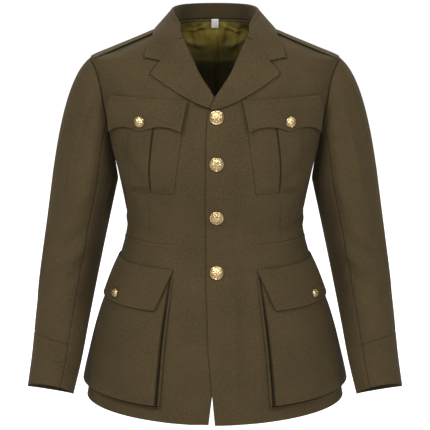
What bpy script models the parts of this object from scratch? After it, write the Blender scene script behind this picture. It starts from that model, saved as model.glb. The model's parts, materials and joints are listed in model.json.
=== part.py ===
"""Service dress jacket, filled out as if worn, with nobody in it.

Every cut piece is its own wall of cloth. The body of the jacket is one smooth surface, given by an
angle round the body and a height: the angle is 0 at the centre front, 90 degrees at the wearer's left
side and 180 at the centre back. Height 0 is the side of the neck, where the shoulder seam meets the
collar. A piece that lies on the body is a patch of that surface, moved out by its own distance.
Metres, +Z up, the front faces -Y, and the wearer's left is +X.
"""

import math

import bpy
import numpy as np

# Cloth and seams
CLOTH = 0.0018
SLEEVE_CLOTH = 0.0016
LINING_CLOTH = 0.001
SEAM_GAP = 0.0004
FOLD_TURNS = (0, 60, 120, 180)
HEM = -0.742
SHOULDER_POINT = -0.0655

# The body's rings: half its width, depth to the front, depth to the back, and how square it is
BODY_RINGS = (
    # height, half width, front depth, back depth, squareness
    (-0.742, 0.2590, 0.160, 0.152, 1.88),
    (-0.700, 0.2512, 0.155, 0.148, 1.92),
    (-0.650, 0.2390, 0.148, 0.142, 1.97),
    (-0.600, 0.2260, 0.140, 0.135, 2.05),
    (-0.550, 0.2110, 0.131, 0.127, 2.1),
    (-0.500, 0.1975, 0.122, 0.118, 2.1),
    (-0.450, 0.1860, 0.113, 0.106, 2.1),
    (-0.410, 0.1752, 0.107, 0.097, 2.15),
    (-0.385, 0.1710, 0.106, 0.095, 2.15),
    (-0.350, 0.1737, 0.109, 0.098, 2.2),
    (-0.300, 0.1824, 0.117, 0.107, 2.25),
    (-0.250, 0.1935, 0.124, 0.115, 2.3),
    (-0.200, 0.2070, 0.126, 0.120, 2.3),
    (-0.160, 0.2180, 0.124, 0.121, 2.3),
    (-0.128, 0.2255, 0.118, 0.119, 2.3),
    (-0.080, 0.2330, 0.104, 0.112, 2.25),
    (SHOULDER_POINT, 0.2345, 0.098, 0.108, 2.2),
    (-0.050, 0.1955, 0.093, 0.104, 2.2),
    (-0.020, 0.1220, 0.080, 0.092, 2.2),
    (0.000, 0.0765, 0.072, 0.083, 2.2),
    (0.035, 0.0800, 0.073, 0.087, 2.2),
)

# Armhole, a loop round the side
ARMHOLE_BOTTOM = -0.235
ARMHOLE_TURN_FRONT = math.radians(14.5)
ARMHOLE_TURN_BACK = math.radians(16.5)
ARMHOLE_FULLNESS = 0.8

# Heights of the panels' rows, from the hem up; the armhole's own rows come between chest and shoulder
SKIRT_ROWS = (HEM, -0.705, -0.66, -0.615, -0.57, -0.525, -0.485, -0.447)
CHEST_ROWS = (-0.385, -0.355, -0.322, -0.29, -0.261)
ARMHOLE_ROWS = 9
SHOULDER_ROWS = (-0.052, -0.038, -0.0265, -0.0165, -0.0092, -0.0042, -SEAM_GAP)
FRONT_COLUMNS = 11
BACK_COLUMNS = 10

# Where the closed fronts end, measured across from the centre of the body
OVER_EDGE = (
    # height, across
    (HEM, 0.0003),
    (-0.700, -0.0036),
    (-0.680, -0.0052),
    (-0.590, -0.0125),
    (-0.523, -0.0144),
    (-0.486, -0.0160),
    (-0.230, -0.0158),
    (-0.164, -0.0132),
    (-0.152, -0.0118),
)
UNDER_EDGE = (
    # height, across, on the under front's own side of the centre
    (HEM, 0.0130),
    (-0.700, 0.0078),
    (-0.680, 0.0052),
    (-0.620, -0.0060),
    (-0.550, -0.0150),
    (-0.500, -0.0180),
    (-0.200, -0.0180),
    (-0.165, -0.0150),
    (-0.150, 0.0010),
    (-0.140, 0.0085),
)
OVER_LIFT = 0.0008
UNDER_DROP = 0.0028
LAP_FADE = (0.024, 0.050)
LAP_UNDER_LAPEL = (-0.137, -0.118)

# Roll line, the fold of the lapel and the collar
ROLL_LINE = (
    # angle in degrees, height
    (-5.6, -0.1515),
    (-3.6, -0.1412),
    (-0.9, -0.1281),
    (7.1, -0.1049),
    (15.6, -0.0822),
    (25.2, -0.0520),
    (33.0, -0.0325),
    (38.9, -0.0200),
)
PANEL_INSET = 0.0050
LEAF_OUT = 0.0040
TAIL_IN = -0.0032

# Neck seam of the front, from the gorge to the shoulder seam
NECK_SEAM = (
    # angle in degrees, height
    (41.5, -0.0240),
    (45.5, -0.0205),
    (50.5, -0.0165),
    (55.5, -0.0128),
    (62.0, -0.0092),
    (69.0, -0.0058),
    (77.0, -0.0028),
    (84.0, -0.0010),
    (89.8, -0.0004),
)

# Collar, one row for each station from the gorge round to the centre back
COLLAR_STATIONS = (
    # seam angle, seam height, roll angle, roll height, edge angle, edge height
    (40.6, -0.0238, 37.8, -0.0225, 57.7, -0.0580),
    (44.5, -0.0200, 41.5, -0.0175, 58.5, -0.0510),
    (49.5, -0.0160, 46.0, -0.0125, 59.8, -0.0438),
    (55.0, -0.0122, 50.5, -0.0062, 61.5, -0.0370),
    (62.0, -0.0085, 55.0, 0.0008, 63.5, -0.0304),
    (69.0, -0.0050, 61.0, 0.0080, 67.6, -0.0235),
    (77.0, -0.0020, 69.0, 0.0142, 73.5, -0.0185),
    (84.0, -0.0002, 79.0, 0.0200, 81.0, -0.0162),
    (90.0, 0.0004, 90.0, 0.0245, 90.0, -0.0158),
    (104.0, 0.0004, 104.0, 0.0266, 104.0, -0.0178),
    (120.0, 0.0004, 120.0, 0.0280, 120.0, -0.0210),
    (138.0, 0.0004, 138.0, 0.0292, 138.0, -0.0230),
    (158.0, 0.0004, 158.0, 0.0298, 158.0, -0.0235),
    (180.0, 0.0004, 180.0, 0.0300, 180.0, -0.0230),
)
COLLAR_HELD_OFF = (-0.0125, 0.0080)
COLLAR_EDGE_OUT = 0.0042
COLLAR_LEAF_SHARES = (0.20, 0.47, 0.74, 1.0)
COLLAR_FOLD_REACH = 0.00245
COLLAR_FOLD_SHARE = 0.6

# Gorge seam between the collar and the lapel, from the fold out to the notch
GORGE = (
    # angle in degrees, height
    (43.8, -0.0285),
    (45.3, -0.0460),
    (47.9, -0.0628),
)
COLLAR_CORNER = (57.7, -0.0580)
GORGE_GAP = (-0.20, -0.0005)

# Lapel, one row for each station from the gorge down to the break
LAPEL_STATIONS = (
    # roll angle, roll height, edge angle, edge height, length turned inside, depth inside
    (37.2, -0.0233, 47.9, -0.0628, 0.012, TAIL_IN),
    (33.0, -0.0325, 50.3, -0.0858, 0.012, TAIL_IN),
    (28.7, -0.0425, 44.0, -0.0965, 0.012, TAIL_IN),
    (23.3, -0.0580, 36.6, -0.1083, 0.012, TAIL_IN),
    (17.8, -0.0752, 29.0, -0.1190, 0.012, TAIL_IN),
    (12.4, -0.0910, 21.9, -0.1274, 0.004, TAIL_IN),
    (6.2, -0.1075, 12.8, -0.1370, 0.0036, -0.0022),
    (-0.9, -0.1281, 4.0, -0.1430, 0.0028, -0.0009),
    (-4.3, -0.1435, -1.8, -0.1458, 0.0026, -0.0009),
)
UNDER_LAPEL_END = (0.9, -0.1240, 4.9, -0.1425, 0.0028, -0.0009)
LAPEL_LEAF_SHARES = (0.30, 0.62, 1.0)
LAPEL_EDGE_OUT = 0.0030
LAPEL_FOLD_REACH = 0.0036
LAPEL_LEAST_TAIL = 0.001
LAPEL_SHORT_TAIL = -0.15

# Sleeve, one row for each ring down the arm
SLEEVE_RINGS = (
    # centre across, centre fore and aft, centre height, half width, half depth
    (0.2500, 0.004, -0.290, 0.0630, 0.0750),
    (0.2635, 0.002, -0.360, 0.0605, 0.0705),
    (0.2765, -0.004, -0.430, 0.0580, 0.0660),
    (0.2885, -0.016, -0.500, 0.0553, 0.0610),
    (0.2995, -0.033, -0.570, 0.0523, 0.0575),
    (0.3090, -0.056, -0.638, 0.0490, 0.0545),
    (0.3205, -0.083, -0.702, 0.0452, 0.0525),
)
SLEEVE_COLUMNS = 16
TOP_SLEEVE_COLUMNS = 5
SLEEVE_SEAM_TURN = math.radians(117)
SLEEVE_SEAM_GAP = 0.0008
SLEEVE_SEAM_RADIUS = 0.05
SLEEVE_HEAD_ROWS = (0.0, 0.12, 0.28, 0.46, 0.64, 0.82)
SLEEVE_TUBE_ROWS = 7
CUFF_ROWS = 4
SLEEVE_HEAD_PULL = 0.78
SLEEVE_TUBE_PULL = 0.55
CUFF_FRONT_HEIGHT = 0.092
CUFF_BACK_HEIGHT = 0.128
SLEEVE_RING_STEP = 0.0705
# The way the sleeve's cloth leaves the armhole: its mean, and what the turn round the armhole adds
HEAD_ACROSS = (0.50, 0.35)
HEAD_FORE = -0.45
HEAD_DOWN = (-0.84, 0.23)

# Shoulder strap
STRAP_TOP = -0.0125
STRAP_BOTTOM = -0.0632
STRAP_CENTRE = -0.009
STRAP_HALF_AT_COLLAR = 0.0215
STRAP_HALF_AT_SLEEVE = 0.0265
STRAP_ROWS = 8
STRAP_COLUMNS = 5

# Chest pocket, one row for each height
CHEST_POCKET_ROWS = (
    # height, inner edge, inner pleat fold, outer pleat fold, outer edge, angles in degrees
    (-0.3045, 34.8, 52.2, 65.9, 79.5),
    (-0.2950, 33.9, 51.6, 65.4, 79.0),
    (-0.2650, 31.4, 50.1, 63.4, 78.0),
    (-0.2350, 29.1, 48.3, 61.5, 76.3),
    (-0.2050, 27.0, 46.4, 59.9, 74.0),
    (-0.1700, 25.3, 44.6, 58.2, 72.3),
    (-0.1515, 24.5, 44.05, 57.15, 71.6),
)
PATCH_LIFT = 0.0014
PATCH_OUT = PATCH_LIFT + CLOTH
PLEAT_OUT = PATCH_OUT + 0.0021
PLEAT_FOLD_TURN = 0.9
PATCH_OUTER_SHARE = 0.56

# Chest flap, from its inner end to its outer end
CHEST_FLAP_TOP = (22.6, -0.1304, 68.5, -0.1256)
CHEST_FLAP_BOTTOM = (26.3, -0.1860, 72.3, -0.1935)
CHEST_FLAP_POINT_SHARE = 0.56
CHEST_FLAP_SCALLOP = 0.0092
CHEST_FLAP_OUT = 0.0080
CHEST_FLAP_ROWS = (
    # share of the way down, distance out
    (0.00, PATCH_OUT),
    (0.14, CHEST_FLAP_OUT - 0.0006),
    (0.55, CHEST_FLAP_OUT),
    (1.00, CHEST_FLAP_OUT),
)
CHEST_FLAP_COLUMNS = 15
CHEST_BUTTON = (52.0, -0.1693)

# Lower bellows pocket
LOWER_SHEET_TOP = -0.468
LOWER_SHEET_BOTTOM = -0.7075
LOWER_SHEET_INNER = 39.8
LOWER_SHEET_OUTER = 99.5
LOWER_GUSSET_TURN = 3.3
LOWER_GUSSET_DROP = 0.0075
LOWER_GUSSET_SHARES = (1.0, 0.45)
LOWER_GUSSET_RISE = (0.0, 0.5)
LOWER_SHEET_ROWS = (LOWER_SHEET_TOP, -0.495, -0.53, -0.575, -0.62, -0.665, LOWER_SHEET_BOTTOM)
LOWER_SHEET_COLUMNS = 8
LOWER_SHEET_STAND = (
    # height, distance of the sheet's middle from the body
    (LOWER_SHEET_BOTTOM, 0.0125),
    (-0.570, 0.0125),
    (-0.530, 0.0100),
    (-0.495, 0.0062),
    (LOWER_SHEET_TOP, 0.0036),
)
LOWER_BASE_OUT = 0.0019

# Lower flap
LOWER_FLAP_TOP = (37.2, -0.4520, 106.5, -0.4490)
LOWER_FLAP_BOTTOM = (44.0, -0.5290, 100.5, -0.5290)
LOWER_FLAP_STAND = (
    # share of the way down, distance of the flap's middle from the body
    (0.00, 0.0022),
    (0.15, 0.0050),
    (0.33, 0.0082),
    (0.65, 0.0124),
    (1.00, 0.0152),
)
LOWER_FLAP_COLUMNS = 11
LOWER_BUTTON = (72.2, -0.5120)
LOWER_BUTTON_OUT = 0.0152

# Waist seam, a sunk line that fades towards the centre
WAIST_SEAM = -0.405
WAIST_SEAM_HALF = 0.0016
WAIST_SEAM_DEPTH = 0.0007
WAIST_SEAM_FADE = (math.radians(36), math.radians(44))

# Back lining and size label
LINING_OUT = -0.0066
LINING_OUT_AT_NECK = -0.0034
LINING_RISE = (-0.045, -0.012)
LINING_TOP = -0.0040
LINING_ROWS_BELOW = (-0.715, -0.62, -0.53, -0.465, -0.41, -0.385, -0.35, -0.31, -0.27)
LINING_ROWS_ABOVE = (-0.052, -0.038, -0.0265, -0.0165, -0.0092, LINING_TOP)
LABEL_HALF_WIDTH = 0.007
LABEL_TOP = 0.0002
LABEL_BOTTOM = -0.0138
LABEL_OUT = LINING_OUT_AT_NECK - LINING_CLOTH - 0.0010
LABEL_CLOTH = 0.0006
LABEL_COLUMNS = 3

# Buttons
FRONT_BUTTON_RADIUS = 0.0127
POCKET_BUTTON_RADIUS = 0.0095
FRONT_BUTTON_SIDES = 18
POCKET_BUTTON_SIDES = 14
POCKET_BUTTON_GAP = 0.0002
FRONT_BUTTONS = (
    # height, how far its back stands off the smooth surface
    (-0.1593, 0.0007),
    (-0.2447, 0.0011),
    (-0.3486, 0.0016),
    (-0.4538, 0.0013),
)
FRONT_BUTTON_ACROSS = 0.0029
BUTTON_PROFILE = (
    # radius and height as shares of the button's radius
    (0.00, 0.00),
    (0.80, 0.00),
    (0.97, 0.10),
    (1.00, 0.22),
    (0.90, 0.30),
    (0.62, 0.46),
    (0.30, 0.55),
    (0.00, 0.58),
)

CLOTH_FINISH = ((0.090, 0.068, 0.036, 1.0), 0.85, 0.0)
LINING_FINISH = ((0.066, 0.053, 0.012, 1.0), 0.45, 0.0)
LABEL_FINISH = ((0.72, 0.70, 0.66, 1.0), 0.80, 0.0)
GILT_FINISH = ((0.83, 0.58, 0.24, 1.0), 0.28, 1.0)


def clear_scene():
    for thing in list(bpy.data.objects):
        bpy.data.objects.remove(thing, do_unlink=True)


def finish_object(name, points, faces, finish, smooth_angle=40):
    """Makes the object, turns its faces outwards and gives it a material of its own."""
    points = np.asarray(points, float)
    corners = points[np.array([face[:3] for face in faces])]
    if np.einsum("ij,ij->i", corners[:, 0], np.cross(corners[:, 1], corners[:, 2])).sum() < 0:
        faces = [tuple(reversed(face)) for face in faces]
    mesh = bpy.data.meshes.new(name)
    mesh.from_pydata(points.tolist(), [], faces)
    mesh.shade_smooth()
    mesh.set_sharp_from_angle(angle=math.radians(smooth_angle))
    piece = bpy.data.objects.new(name, mesh)
    bpy.context.scene.collection.objects.link(piece)
    colour, roughness, metallic = finish
    material = bpy.data.materials.new(f"{name} finish")
    material.use_nodes = True
    shader = material.node_tree.nodes["Principled BSDF"]
    shader.inputs["Base Color"].default_value = colour
    shader.inputs["Roughness"].default_value = roughness
    shader.inputs["Metallic"].default_value = metallic
    mesh.materials.append(material)
    return piece


def triangles_between(first, second):
    """Two triangles for each cell between two grids' rows, given their point numbers."""
    a, b = first[:-1], first[1:]
    c, d = second[:-1], second[1:]
    return [tuple(t) for t in np.concatenate([np.stack([a, b, d], 1), np.stack([a, d, c], 1)]).tolist()]


def cloth_wall(name, outer, inner, finish):
    """A closed wall between an outer and an inner grid of points, with a rim round its edge."""
    rows, columns = outer.shape[:2]
    outside = np.arange(rows * columns).reshape(rows, columns)
    inside = outside + rows * columns
    faces = []
    for row in range(rows - 1):
        faces += triangles_between(outside[row], outside[row + 1])
        faces += triangles_between(inside[row + 1], inside[row])
    ring = np.concatenate([outside[0], outside[1:, -1], outside[-1, -2::-1], outside[-2:0:-1, 0]])
    ring = np.append(ring, ring[0])
    faces += triangles_between(ring + rows * columns, ring)
    points = np.concatenate([outer.reshape(-1, 3), inner.reshape(-1, 3)])
    return finish_object(name, points, faces, finish)


def grid_normals(grid):
    """The direction square to a grid of points at each of them."""
    down = np.gradient(grid, axis=0)
    across = np.gradient(grid, axis=1)
    square = np.cross(across, down)
    return square / np.linalg.norm(square, axis=-1, keepdims=True)


def folded_wall(name, middle, thickness, finish):
    """A wall on both sides of a folded sheet's middle."""
    half = grid_normals(middle) * thickness / 2
    return cloth_wall(name, middle + half, middle - half, finish)


def column(table, number):
    return np.array([row[number] for row in table], float)


def smooth_slopes(places, values):
    """Slopes for a curve through the values that never swings past them."""
    steps = np.diff(places)
    rates = np.diff(values) / steps
    slopes = np.zeros(len(places))
    slopes[0], slopes[-1] = rates[0], rates[-1]
    for i in range(1, len(places) - 1):
        if rates[i - 1] * rates[i] > 0:
            before = 2 * steps[i] + steps[i - 1]
            after = steps[i] + 2 * steps[i - 1]
            slopes[i] = (before + after) / (before / rates[i - 1] + after / rates[i])
    return slopes


def smooth_value(at, places, values):
    """The value at one or more places on a smooth curve through a table."""
    slopes = smooth_slopes(places, values)
    at = np.clip(at, places[0], places[-1])
    i = np.clip(np.searchsorted(places, at) - 1, 0, len(places) - 2)
    step = places[i + 1] - places[i]
    t = (at - places[i]) / step
    start = (2 * t**3 - 3 * t**2 + 1) * values[i] + (t**3 - 2 * t**2 + t) * step * slopes[i]
    end = (3 * t**2 - 2 * t**3) * values[i + 1] + (t**3 - t**2) * step * slopes[i + 1]
    return start + end


def ease(value, low, high):
    """0 below low, 1 above high, and a smooth rise between."""
    t = np.clip((value - low) / (high - low), 0, 1)
    return t * t * (3 - 2 * t)


RING_HEIGHTS = column(BODY_RINGS, 0)
HALF_WIDTHS = column(BODY_RINGS, 1)
FRONT_DEPTHS = column(BODY_RINGS, 2)
BACK_DEPTHS = column(BODY_RINGS, 3)
SQUARENESS = column(BODY_RINGS, 4)


def body_ring(angle, height):
    """A point of the body's surface."""
    half = smooth_value(height, RING_HEIGHTS, HALF_WIDTHS)
    front = smooth_value(height, RING_HEIGHTS, FRONT_DEPTHS)
    back = smooth_value(height, RING_HEIGHTS, BACK_DEPTHS)
    power = smooth_value(height, RING_HEIGHTS, SQUARENESS)
    depth = np.where(np.cos(angle) > 0, front, back)
    radius = (np.abs(np.sin(angle) / half) ** power + np.abs(np.cos(angle) / depth) ** power) ** (-1 / power)
    return np.stack([radius * np.sin(angle), -radius * np.cos(angle), height + 0 * radius], -1)


def on_body(angle, height, out=0.0):
    """The body's surface at this angle and height, moved out square to it."""
    angle, height, out = np.broadcast_arrays(np.asarray(angle, float), np.asarray(height, float), out)
    small = 1e-4
    across = body_ring(angle + small, height) - body_ring(angle - small, height)
    up = body_ring(angle, height + small) - body_ring(angle, height - small)
    square = np.cross(across, up)
    square /= np.linalg.norm(square, axis=-1, keepdims=True)
    return body_ring(angle, height) + square * out[..., None]


def angle_across(across, height):
    """The angle at which the front of the body is this far across from its centre."""
    half = smooth_value(height, RING_HEIGHTS, HALF_WIDTHS)
    front = smooth_value(height, RING_HEIGHTS, FRONT_DEPTHS)
    power = smooth_value(height, RING_HEIGHTS, SQUARENESS)
    depth = front * (1 - np.abs(across / half) ** power) ** (1 / power)
    return np.arctan2(across, depth)


def mirrored(grid, side):
    """The grid as it is on the wearer's left, or turned over to the right."""
    return grid * np.array([side, 1, 1])


def shares(low, high, count):
    """Grid columns evenly spaced from each row's low value to its high one."""
    return low[:, None] + (high - low)[:, None] * np.linspace(0, 1, count)


def armhole_turn(height, widest):
    """How far the armhole's edge stands from the side, as an angle, at this height."""
    middle = (SHOULDER_POINT + ARMHOLE_BOTTOM) / 2
    reach = (SHOULDER_POINT - ARMHOLE_BOTTOM) / 2
    return widest * (1 - np.clip(np.abs((height - middle) / reach), 0, 1) ** 2) ** (ARMHOLE_FULLNESS / 2)


def armhole_heights(count):
    """Heights up the armhole, closer together where it turns."""
    middle = (SHOULDER_POINT + ARMHOLE_BOTTOM) / 2
    reach = (SHOULDER_POINT - ARMHOLE_BOTTOM) / 2
    return middle - reach * np.cos(np.linspace(0, math.pi, count))


def panel_heights():
    """Heights of a body panel's rows, from the hem to the neck."""
    waist = (WAIST_SEAM - WAIST_SEAM_HALF, WAIST_SEAM, WAIST_SEAM + WAIST_SEAM_HALF)
    return np.concatenate([SKIRT_ROWS, waist, CHEST_ROWS, armhole_heights(ARMHOLE_ROWS), SHOULDER_ROWS])


def side_gap(height):
    return SEAM_GAP / 2 / smooth_value(height, RING_HEIGHTS, HALF_WIDTHS)


def front_edge(heights, over):
    """The front's own edge: straight down the closing, along the roll line, then the neck seam."""
    table = OVER_EDGE if over else UNDER_EDGE
    closing = angle_across(np.interp(heights, column(table, 0), column(table, 1)), heights)
    roll = np.radians(np.interp(heights, column(ROLL_LINE, 1), column(ROLL_LINE, 0)))
    roll += PANEL_INSET / np.linalg.norm(body_ring(roll, heights)[:, :2], axis=-1)
    neck = np.radians(np.interp(heights, column(NECK_SEAM, 1), column(NECK_SEAM, 0)))
    roll_starts = table[-1][0]
    edge = np.where(heights < roll_starts + 1e-6, closing, roll)
    return np.where(heights > NECK_SEAM[0][1], np.maximum(neck, edge), edge)


def front_panel(name, side):
    """The front: from its edge round to the side seam, the armhole and the shoulder seam."""
    over = side > 0
    heights = panel_heights()
    low = front_edge(heights, over)
    side_seam = math.pi / 2 - armhole_turn(heights, ARMHOLE_TURN_FRONT) - side_gap(heights)
    angles = shares(low, side_seam, FRONT_COLUMNS)
    rows = np.repeat(heights[:, None], angles.shape[1], axis=1)
    across = body_ring(angles, rows)[..., 0]
    lap = 1 - ease(across, *LAP_FADE)
    below_lapel = 1 - ease(rows, *LAP_UNDER_LAPEL)
    out = lap * (OVER_LIFT * below_lapel if over else -UNDER_DROP * below_lapel)
    groove = (np.abs(rows - WAIST_SEAM) < WAIST_SEAM_HALF / 2) * ease(angles, *WAIST_SEAM_FADE)
    outer = on_body(angles, rows, out - groove * WAIST_SEAM_DEPTH)
    inner = on_body(angles, rows, out - CLOTH)
    return cloth_wall(name, mirrored(outer, side), mirrored(inner, side), CLOTH_FINISH)


def back_panel(name, side):
    """The back: from the side seam round to the seam down the centre back."""
    heights = panel_heights()
    low = math.pi / 2 + armhole_turn(heights, ARMHOLE_TURN_BACK) + side_gap(heights)
    centre_gap = SEAM_GAP / 2 / smooth_value(heights, RING_HEIGHTS, BACK_DEPTHS)
    angles = shares(low, math.pi - centre_gap, BACK_COLUMNS)
    rows = np.repeat(heights[:, None], angles.shape[1], axis=1)
    outer = on_body(angles, rows)
    inner = on_body(angles, rows, -CLOTH)
    return cloth_wall(name, mirrored(outer, side), mirrored(inner, side), CLOTH_FINISH)


def back_lining():
    """The satin lining that shows through the neck, just inside the two backs."""
    heights = np.concatenate([LINING_ROWS_BELOW, armhole_heights(ARMHOLE_ROWS), LINING_ROWS_ABOVE])
    low = math.pi / 2 + armhole_turn(heights, ARMHOLE_TURN_BACK)
    left = shares(low, np.full(len(heights), math.pi), BACK_COLUMNS)[:, 1:]
    angles = np.concatenate([left, 2 * math.pi - left[:, -2::-1]], axis=1)
    rows = np.repeat(heights[:, None], angles.shape[1], axis=1)
    out = between(LINING_OUT, LINING_OUT_AT_NECK, ease(rows, *LINING_RISE))
    outer = on_body(angles, rows, out)
    inner = on_body(angles, rows, out - LINING_CLOTH)
    return cloth_wall("lining_back", outer, inner, LINING_FINISH)


def size_label():
    """A blank woven label, sewn to the lining under the collar."""
    heights = np.linspace(LABEL_BOTTOM, LABEL_TOP, LABEL_COLUMNS)
    turn = LABEL_HALF_WIDTH / smooth_value(heights, RING_HEIGHTS, BACK_DEPTHS)
    angles = shares(math.pi - turn, math.pi + turn, LABEL_COLUMNS)
    rows = np.repeat(heights[:, None], LABEL_COLUMNS, axis=1)
    outer = on_body(angles, rows, LABEL_OUT)
    inner = on_body(angles, rows, LABEL_OUT - LABEL_CLOTH)
    return cloth_wall("size_label", outer, inner, LABEL_FINISH)


def surface_length(start, end):
    """The distance between two places on the body, each an angle in radians and a height."""
    return float(np.linalg.norm(body_ring(*map(np.asarray, end)) - body_ring(*map(np.asarray, start))))


def fold_row(roll, inner_way, outer_way, inner_depth, leaf_out, fold_reach):
    """Angle, height and distance out of the points round a fold, from the inside to the outside.

    roll is the fold's crest; inner_way and outer_way are the places that the inner and outer
    sheets run towards. The fold is half a circle of four points.
    """
    radius = (leaf_out - inner_depth) / 2
    centre = (leaf_out + inner_depth) / 2
    row = []
    for turn in np.radians(FOLD_TURNS):
        way = inner_way if turn < math.pi / 2 else outer_way
        share = fold_reach * (1 - math.sin(turn)) / surface_length(roll, way)
        row.append(
            (
                roll[0] + (way[0] - roll[0]) * share,
                roll[1] + (way[1] - roll[1]) * share,
                centre - radius * math.cos(turn),
            )
        )
    return row


def between(start, end, share):
    return start + (end - start) * share


def lapel(name, side):
    """The facing turned back over the front: a short turn inside, the roll, then the leaf."""
    stations = list(LAPEL_STATIONS)
    if side < 0:
        stations = stations[:-2] + [UNDER_LAPEL_END]
    grid = []
    for number, (roll_angle, roll_height, edge_angle, edge_height, inside, depth) in enumerate(stations):
        roll = (math.radians(roll_angle), roll_height)
        edge = (math.radians(edge_angle), edge_height)
        reach = min(LAPEL_FOLD_REACH, inside)
        row = fold_row(roll, edge, edge, depth, LEAF_OUT, reach)
        share = inside / surface_length(roll, edge)
        tail = (between(roll[0], edge[0], share), between(roll[1], edge[1], share), depth)
        if inside > reach + LAPEL_LEAST_TAIL:
            row.insert(0, tail)
        else:
            row.insert(0, tuple(between(np.array(row[0]), np.array(row[1]), LAPEL_SHORT_TAIL)))
        for share in LAPEL_LEAF_SHARES:
            out = between(LEAF_OUT, LAPEL_EDGE_OUT, share)
            row.append((between(roll[0], edge[0], share), between(roll[1], edge[1], share), out))
        if number == 0:
            for spot, (angle, height) in enumerate(GORGE):
                place = (math.radians(angle + GORGE_GAP[0]), height + GORGE_GAP[1])
                row[len(row) - len(GORGE) + spot] = (*place, row[len(row) - len(GORGE) + spot][2])
        grid.append(row)
    grid = np.array(grid)
    middle = on_body(grid[..., 0], grid[..., 1], grid[..., 2])
    return folded_wall(name, mirrored(middle, side), CLOTH, CLOTH_FINISH)


def collar_row(station, is_end):
    """The points across the collar at one station: up the stand, round the roll and down the leaf."""
    seam_angle, seam_height, roll_angle, roll_height, edge_angle, edge_height = station
    seam = (math.radians(seam_angle), seam_height)
    roll = (math.radians(roll_angle), roll_height)
    edge = (math.radians(edge_angle), edge_height)
    inner_depth = -CLOTH / 2
    reach = min(COLLAR_FOLD_REACH, COLLAR_FOLD_SHARE * surface_length(roll, seam))
    fold = fold_row(roll, seam, edge, inner_depth, LEAF_OUT, reach)
    stand_half = (between(seam[0], fold[0][0], 0.5), between(seam[1], fold[0][1], 0.5), inner_depth)
    row = [(*seam, inner_depth), stand_half, *fold]
    flat = []
    for share in COLLAR_LEAF_SHARES:
        out = between(LEAF_OUT, COLLAR_EDGE_OUT, share)
        flat.append((between(roll[0], edge[0], share), between(roll[1], edge[1], share), out))
    if is_end:
        places = [*GORGE, COLLAR_CORNER]
        flat = [(math.radians(angle), height, LEAF_OUT) for angle, height in places]
    points = np.array([on_body(*place) for place in row + flat])
    start, end = points[len(row) - 1], points[-1]
    held_off = float(ease(roll_height, *COLLAR_HELD_OFF))
    for spot, share in enumerate(COLLAR_LEAF_SHARES):
        straight = between(start, end, share)
        points[len(row) + spot] = between(points[len(row) + spot], straight, held_off)
    return points


def collar():
    """The stand and the leaf in one folded sheet, from gorge to gorge round the back of the neck."""
    left = [collar_row(station, number == 0) for number, station in enumerate(COLLAR_STATIONS)]
    right = [mirrored(row, -1) for row in left[:-1]]
    grid = np.array(left + right[::-1])
    return folded_wall("collar", grid, CLOTH, CLOTH_FINISH)


RING_NUMBERS = np.arange(1.0, len(SLEEVE_RINGS) + 1)


def sleeve_ring_value(along, number):
    return smooth_value(along, RING_NUMBERS, column(SLEEVE_RINGS, number))


def sleeve_centre(along):
    return np.stack([sleeve_ring_value(along, number) for number in range(3)], -1)


def seam_turned(turn):
    """The turn round the tube for a turn round the armhole, so that both seams run down its inner side."""
    half_top = 2 * math.pi * TOP_SLEEVE_COLUMNS / SLEEVE_COLUMNS
    turn = (turn + math.pi) % (2 * math.pi) - math.pi
    beyond = math.pi - (math.pi - np.abs(turn)) * (math.pi - SLEEVE_SEAM_TURN) / (math.pi - half_top)
    within = np.abs(turn) * SLEEVE_SEAM_TURN / half_top
    return np.sign(turn) * np.where(np.abs(turn) > half_top, beyond, within)


def sleeve_tube(turn, along):
    """A point of the sleeve below its head: 0 is the outer side and 90 degrees the front."""
    turn = seam_turned(turn)
    step = 0.05
    centre = sleeve_centre(along)
    low = np.clip(along - step, 1, len(SLEEVE_RINGS))
    high = np.clip(along + step, 1, len(SLEEVE_RINGS))
    down = sleeve_centre(high) - sleeve_centre(low)
    down /= np.linalg.norm(down, axis=-1, keepdims=True)
    front = np.array([0.0, -1.0, 0.0]) + down * down[..., 1:2]
    front /= np.linalg.norm(front, axis=-1, keepdims=True)
    outward = np.cross(front, down)
    across = sleeve_ring_value(along, 3) * np.cos(turn)
    fore = sleeve_ring_value(along, 4) * np.sin(turn)
    return centre + across[..., None] * outward + fore[..., None] * front


def armhole_point(turn):
    """Where the sleeve is sewn to the body's armhole, just clear of its edge."""
    middle = (SHOULDER_POINT + ARMHOLE_BOTTOM) / 2
    reach = (SHOULDER_POINT - ARMHOLE_BOTTOM) / 2
    widest = np.where(np.sin(turn) > 0, ARMHOLE_TURN_FRONT, ARMHOLE_TURN_BACK)
    aside = np.sign(np.sin(turn)) * np.abs(np.sin(turn)) ** ARMHOLE_FULLNESS * widest
    return on_body(math.pi / 2 - aside, middle + reach * np.cos(turn), SEAM_GAP)


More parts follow.
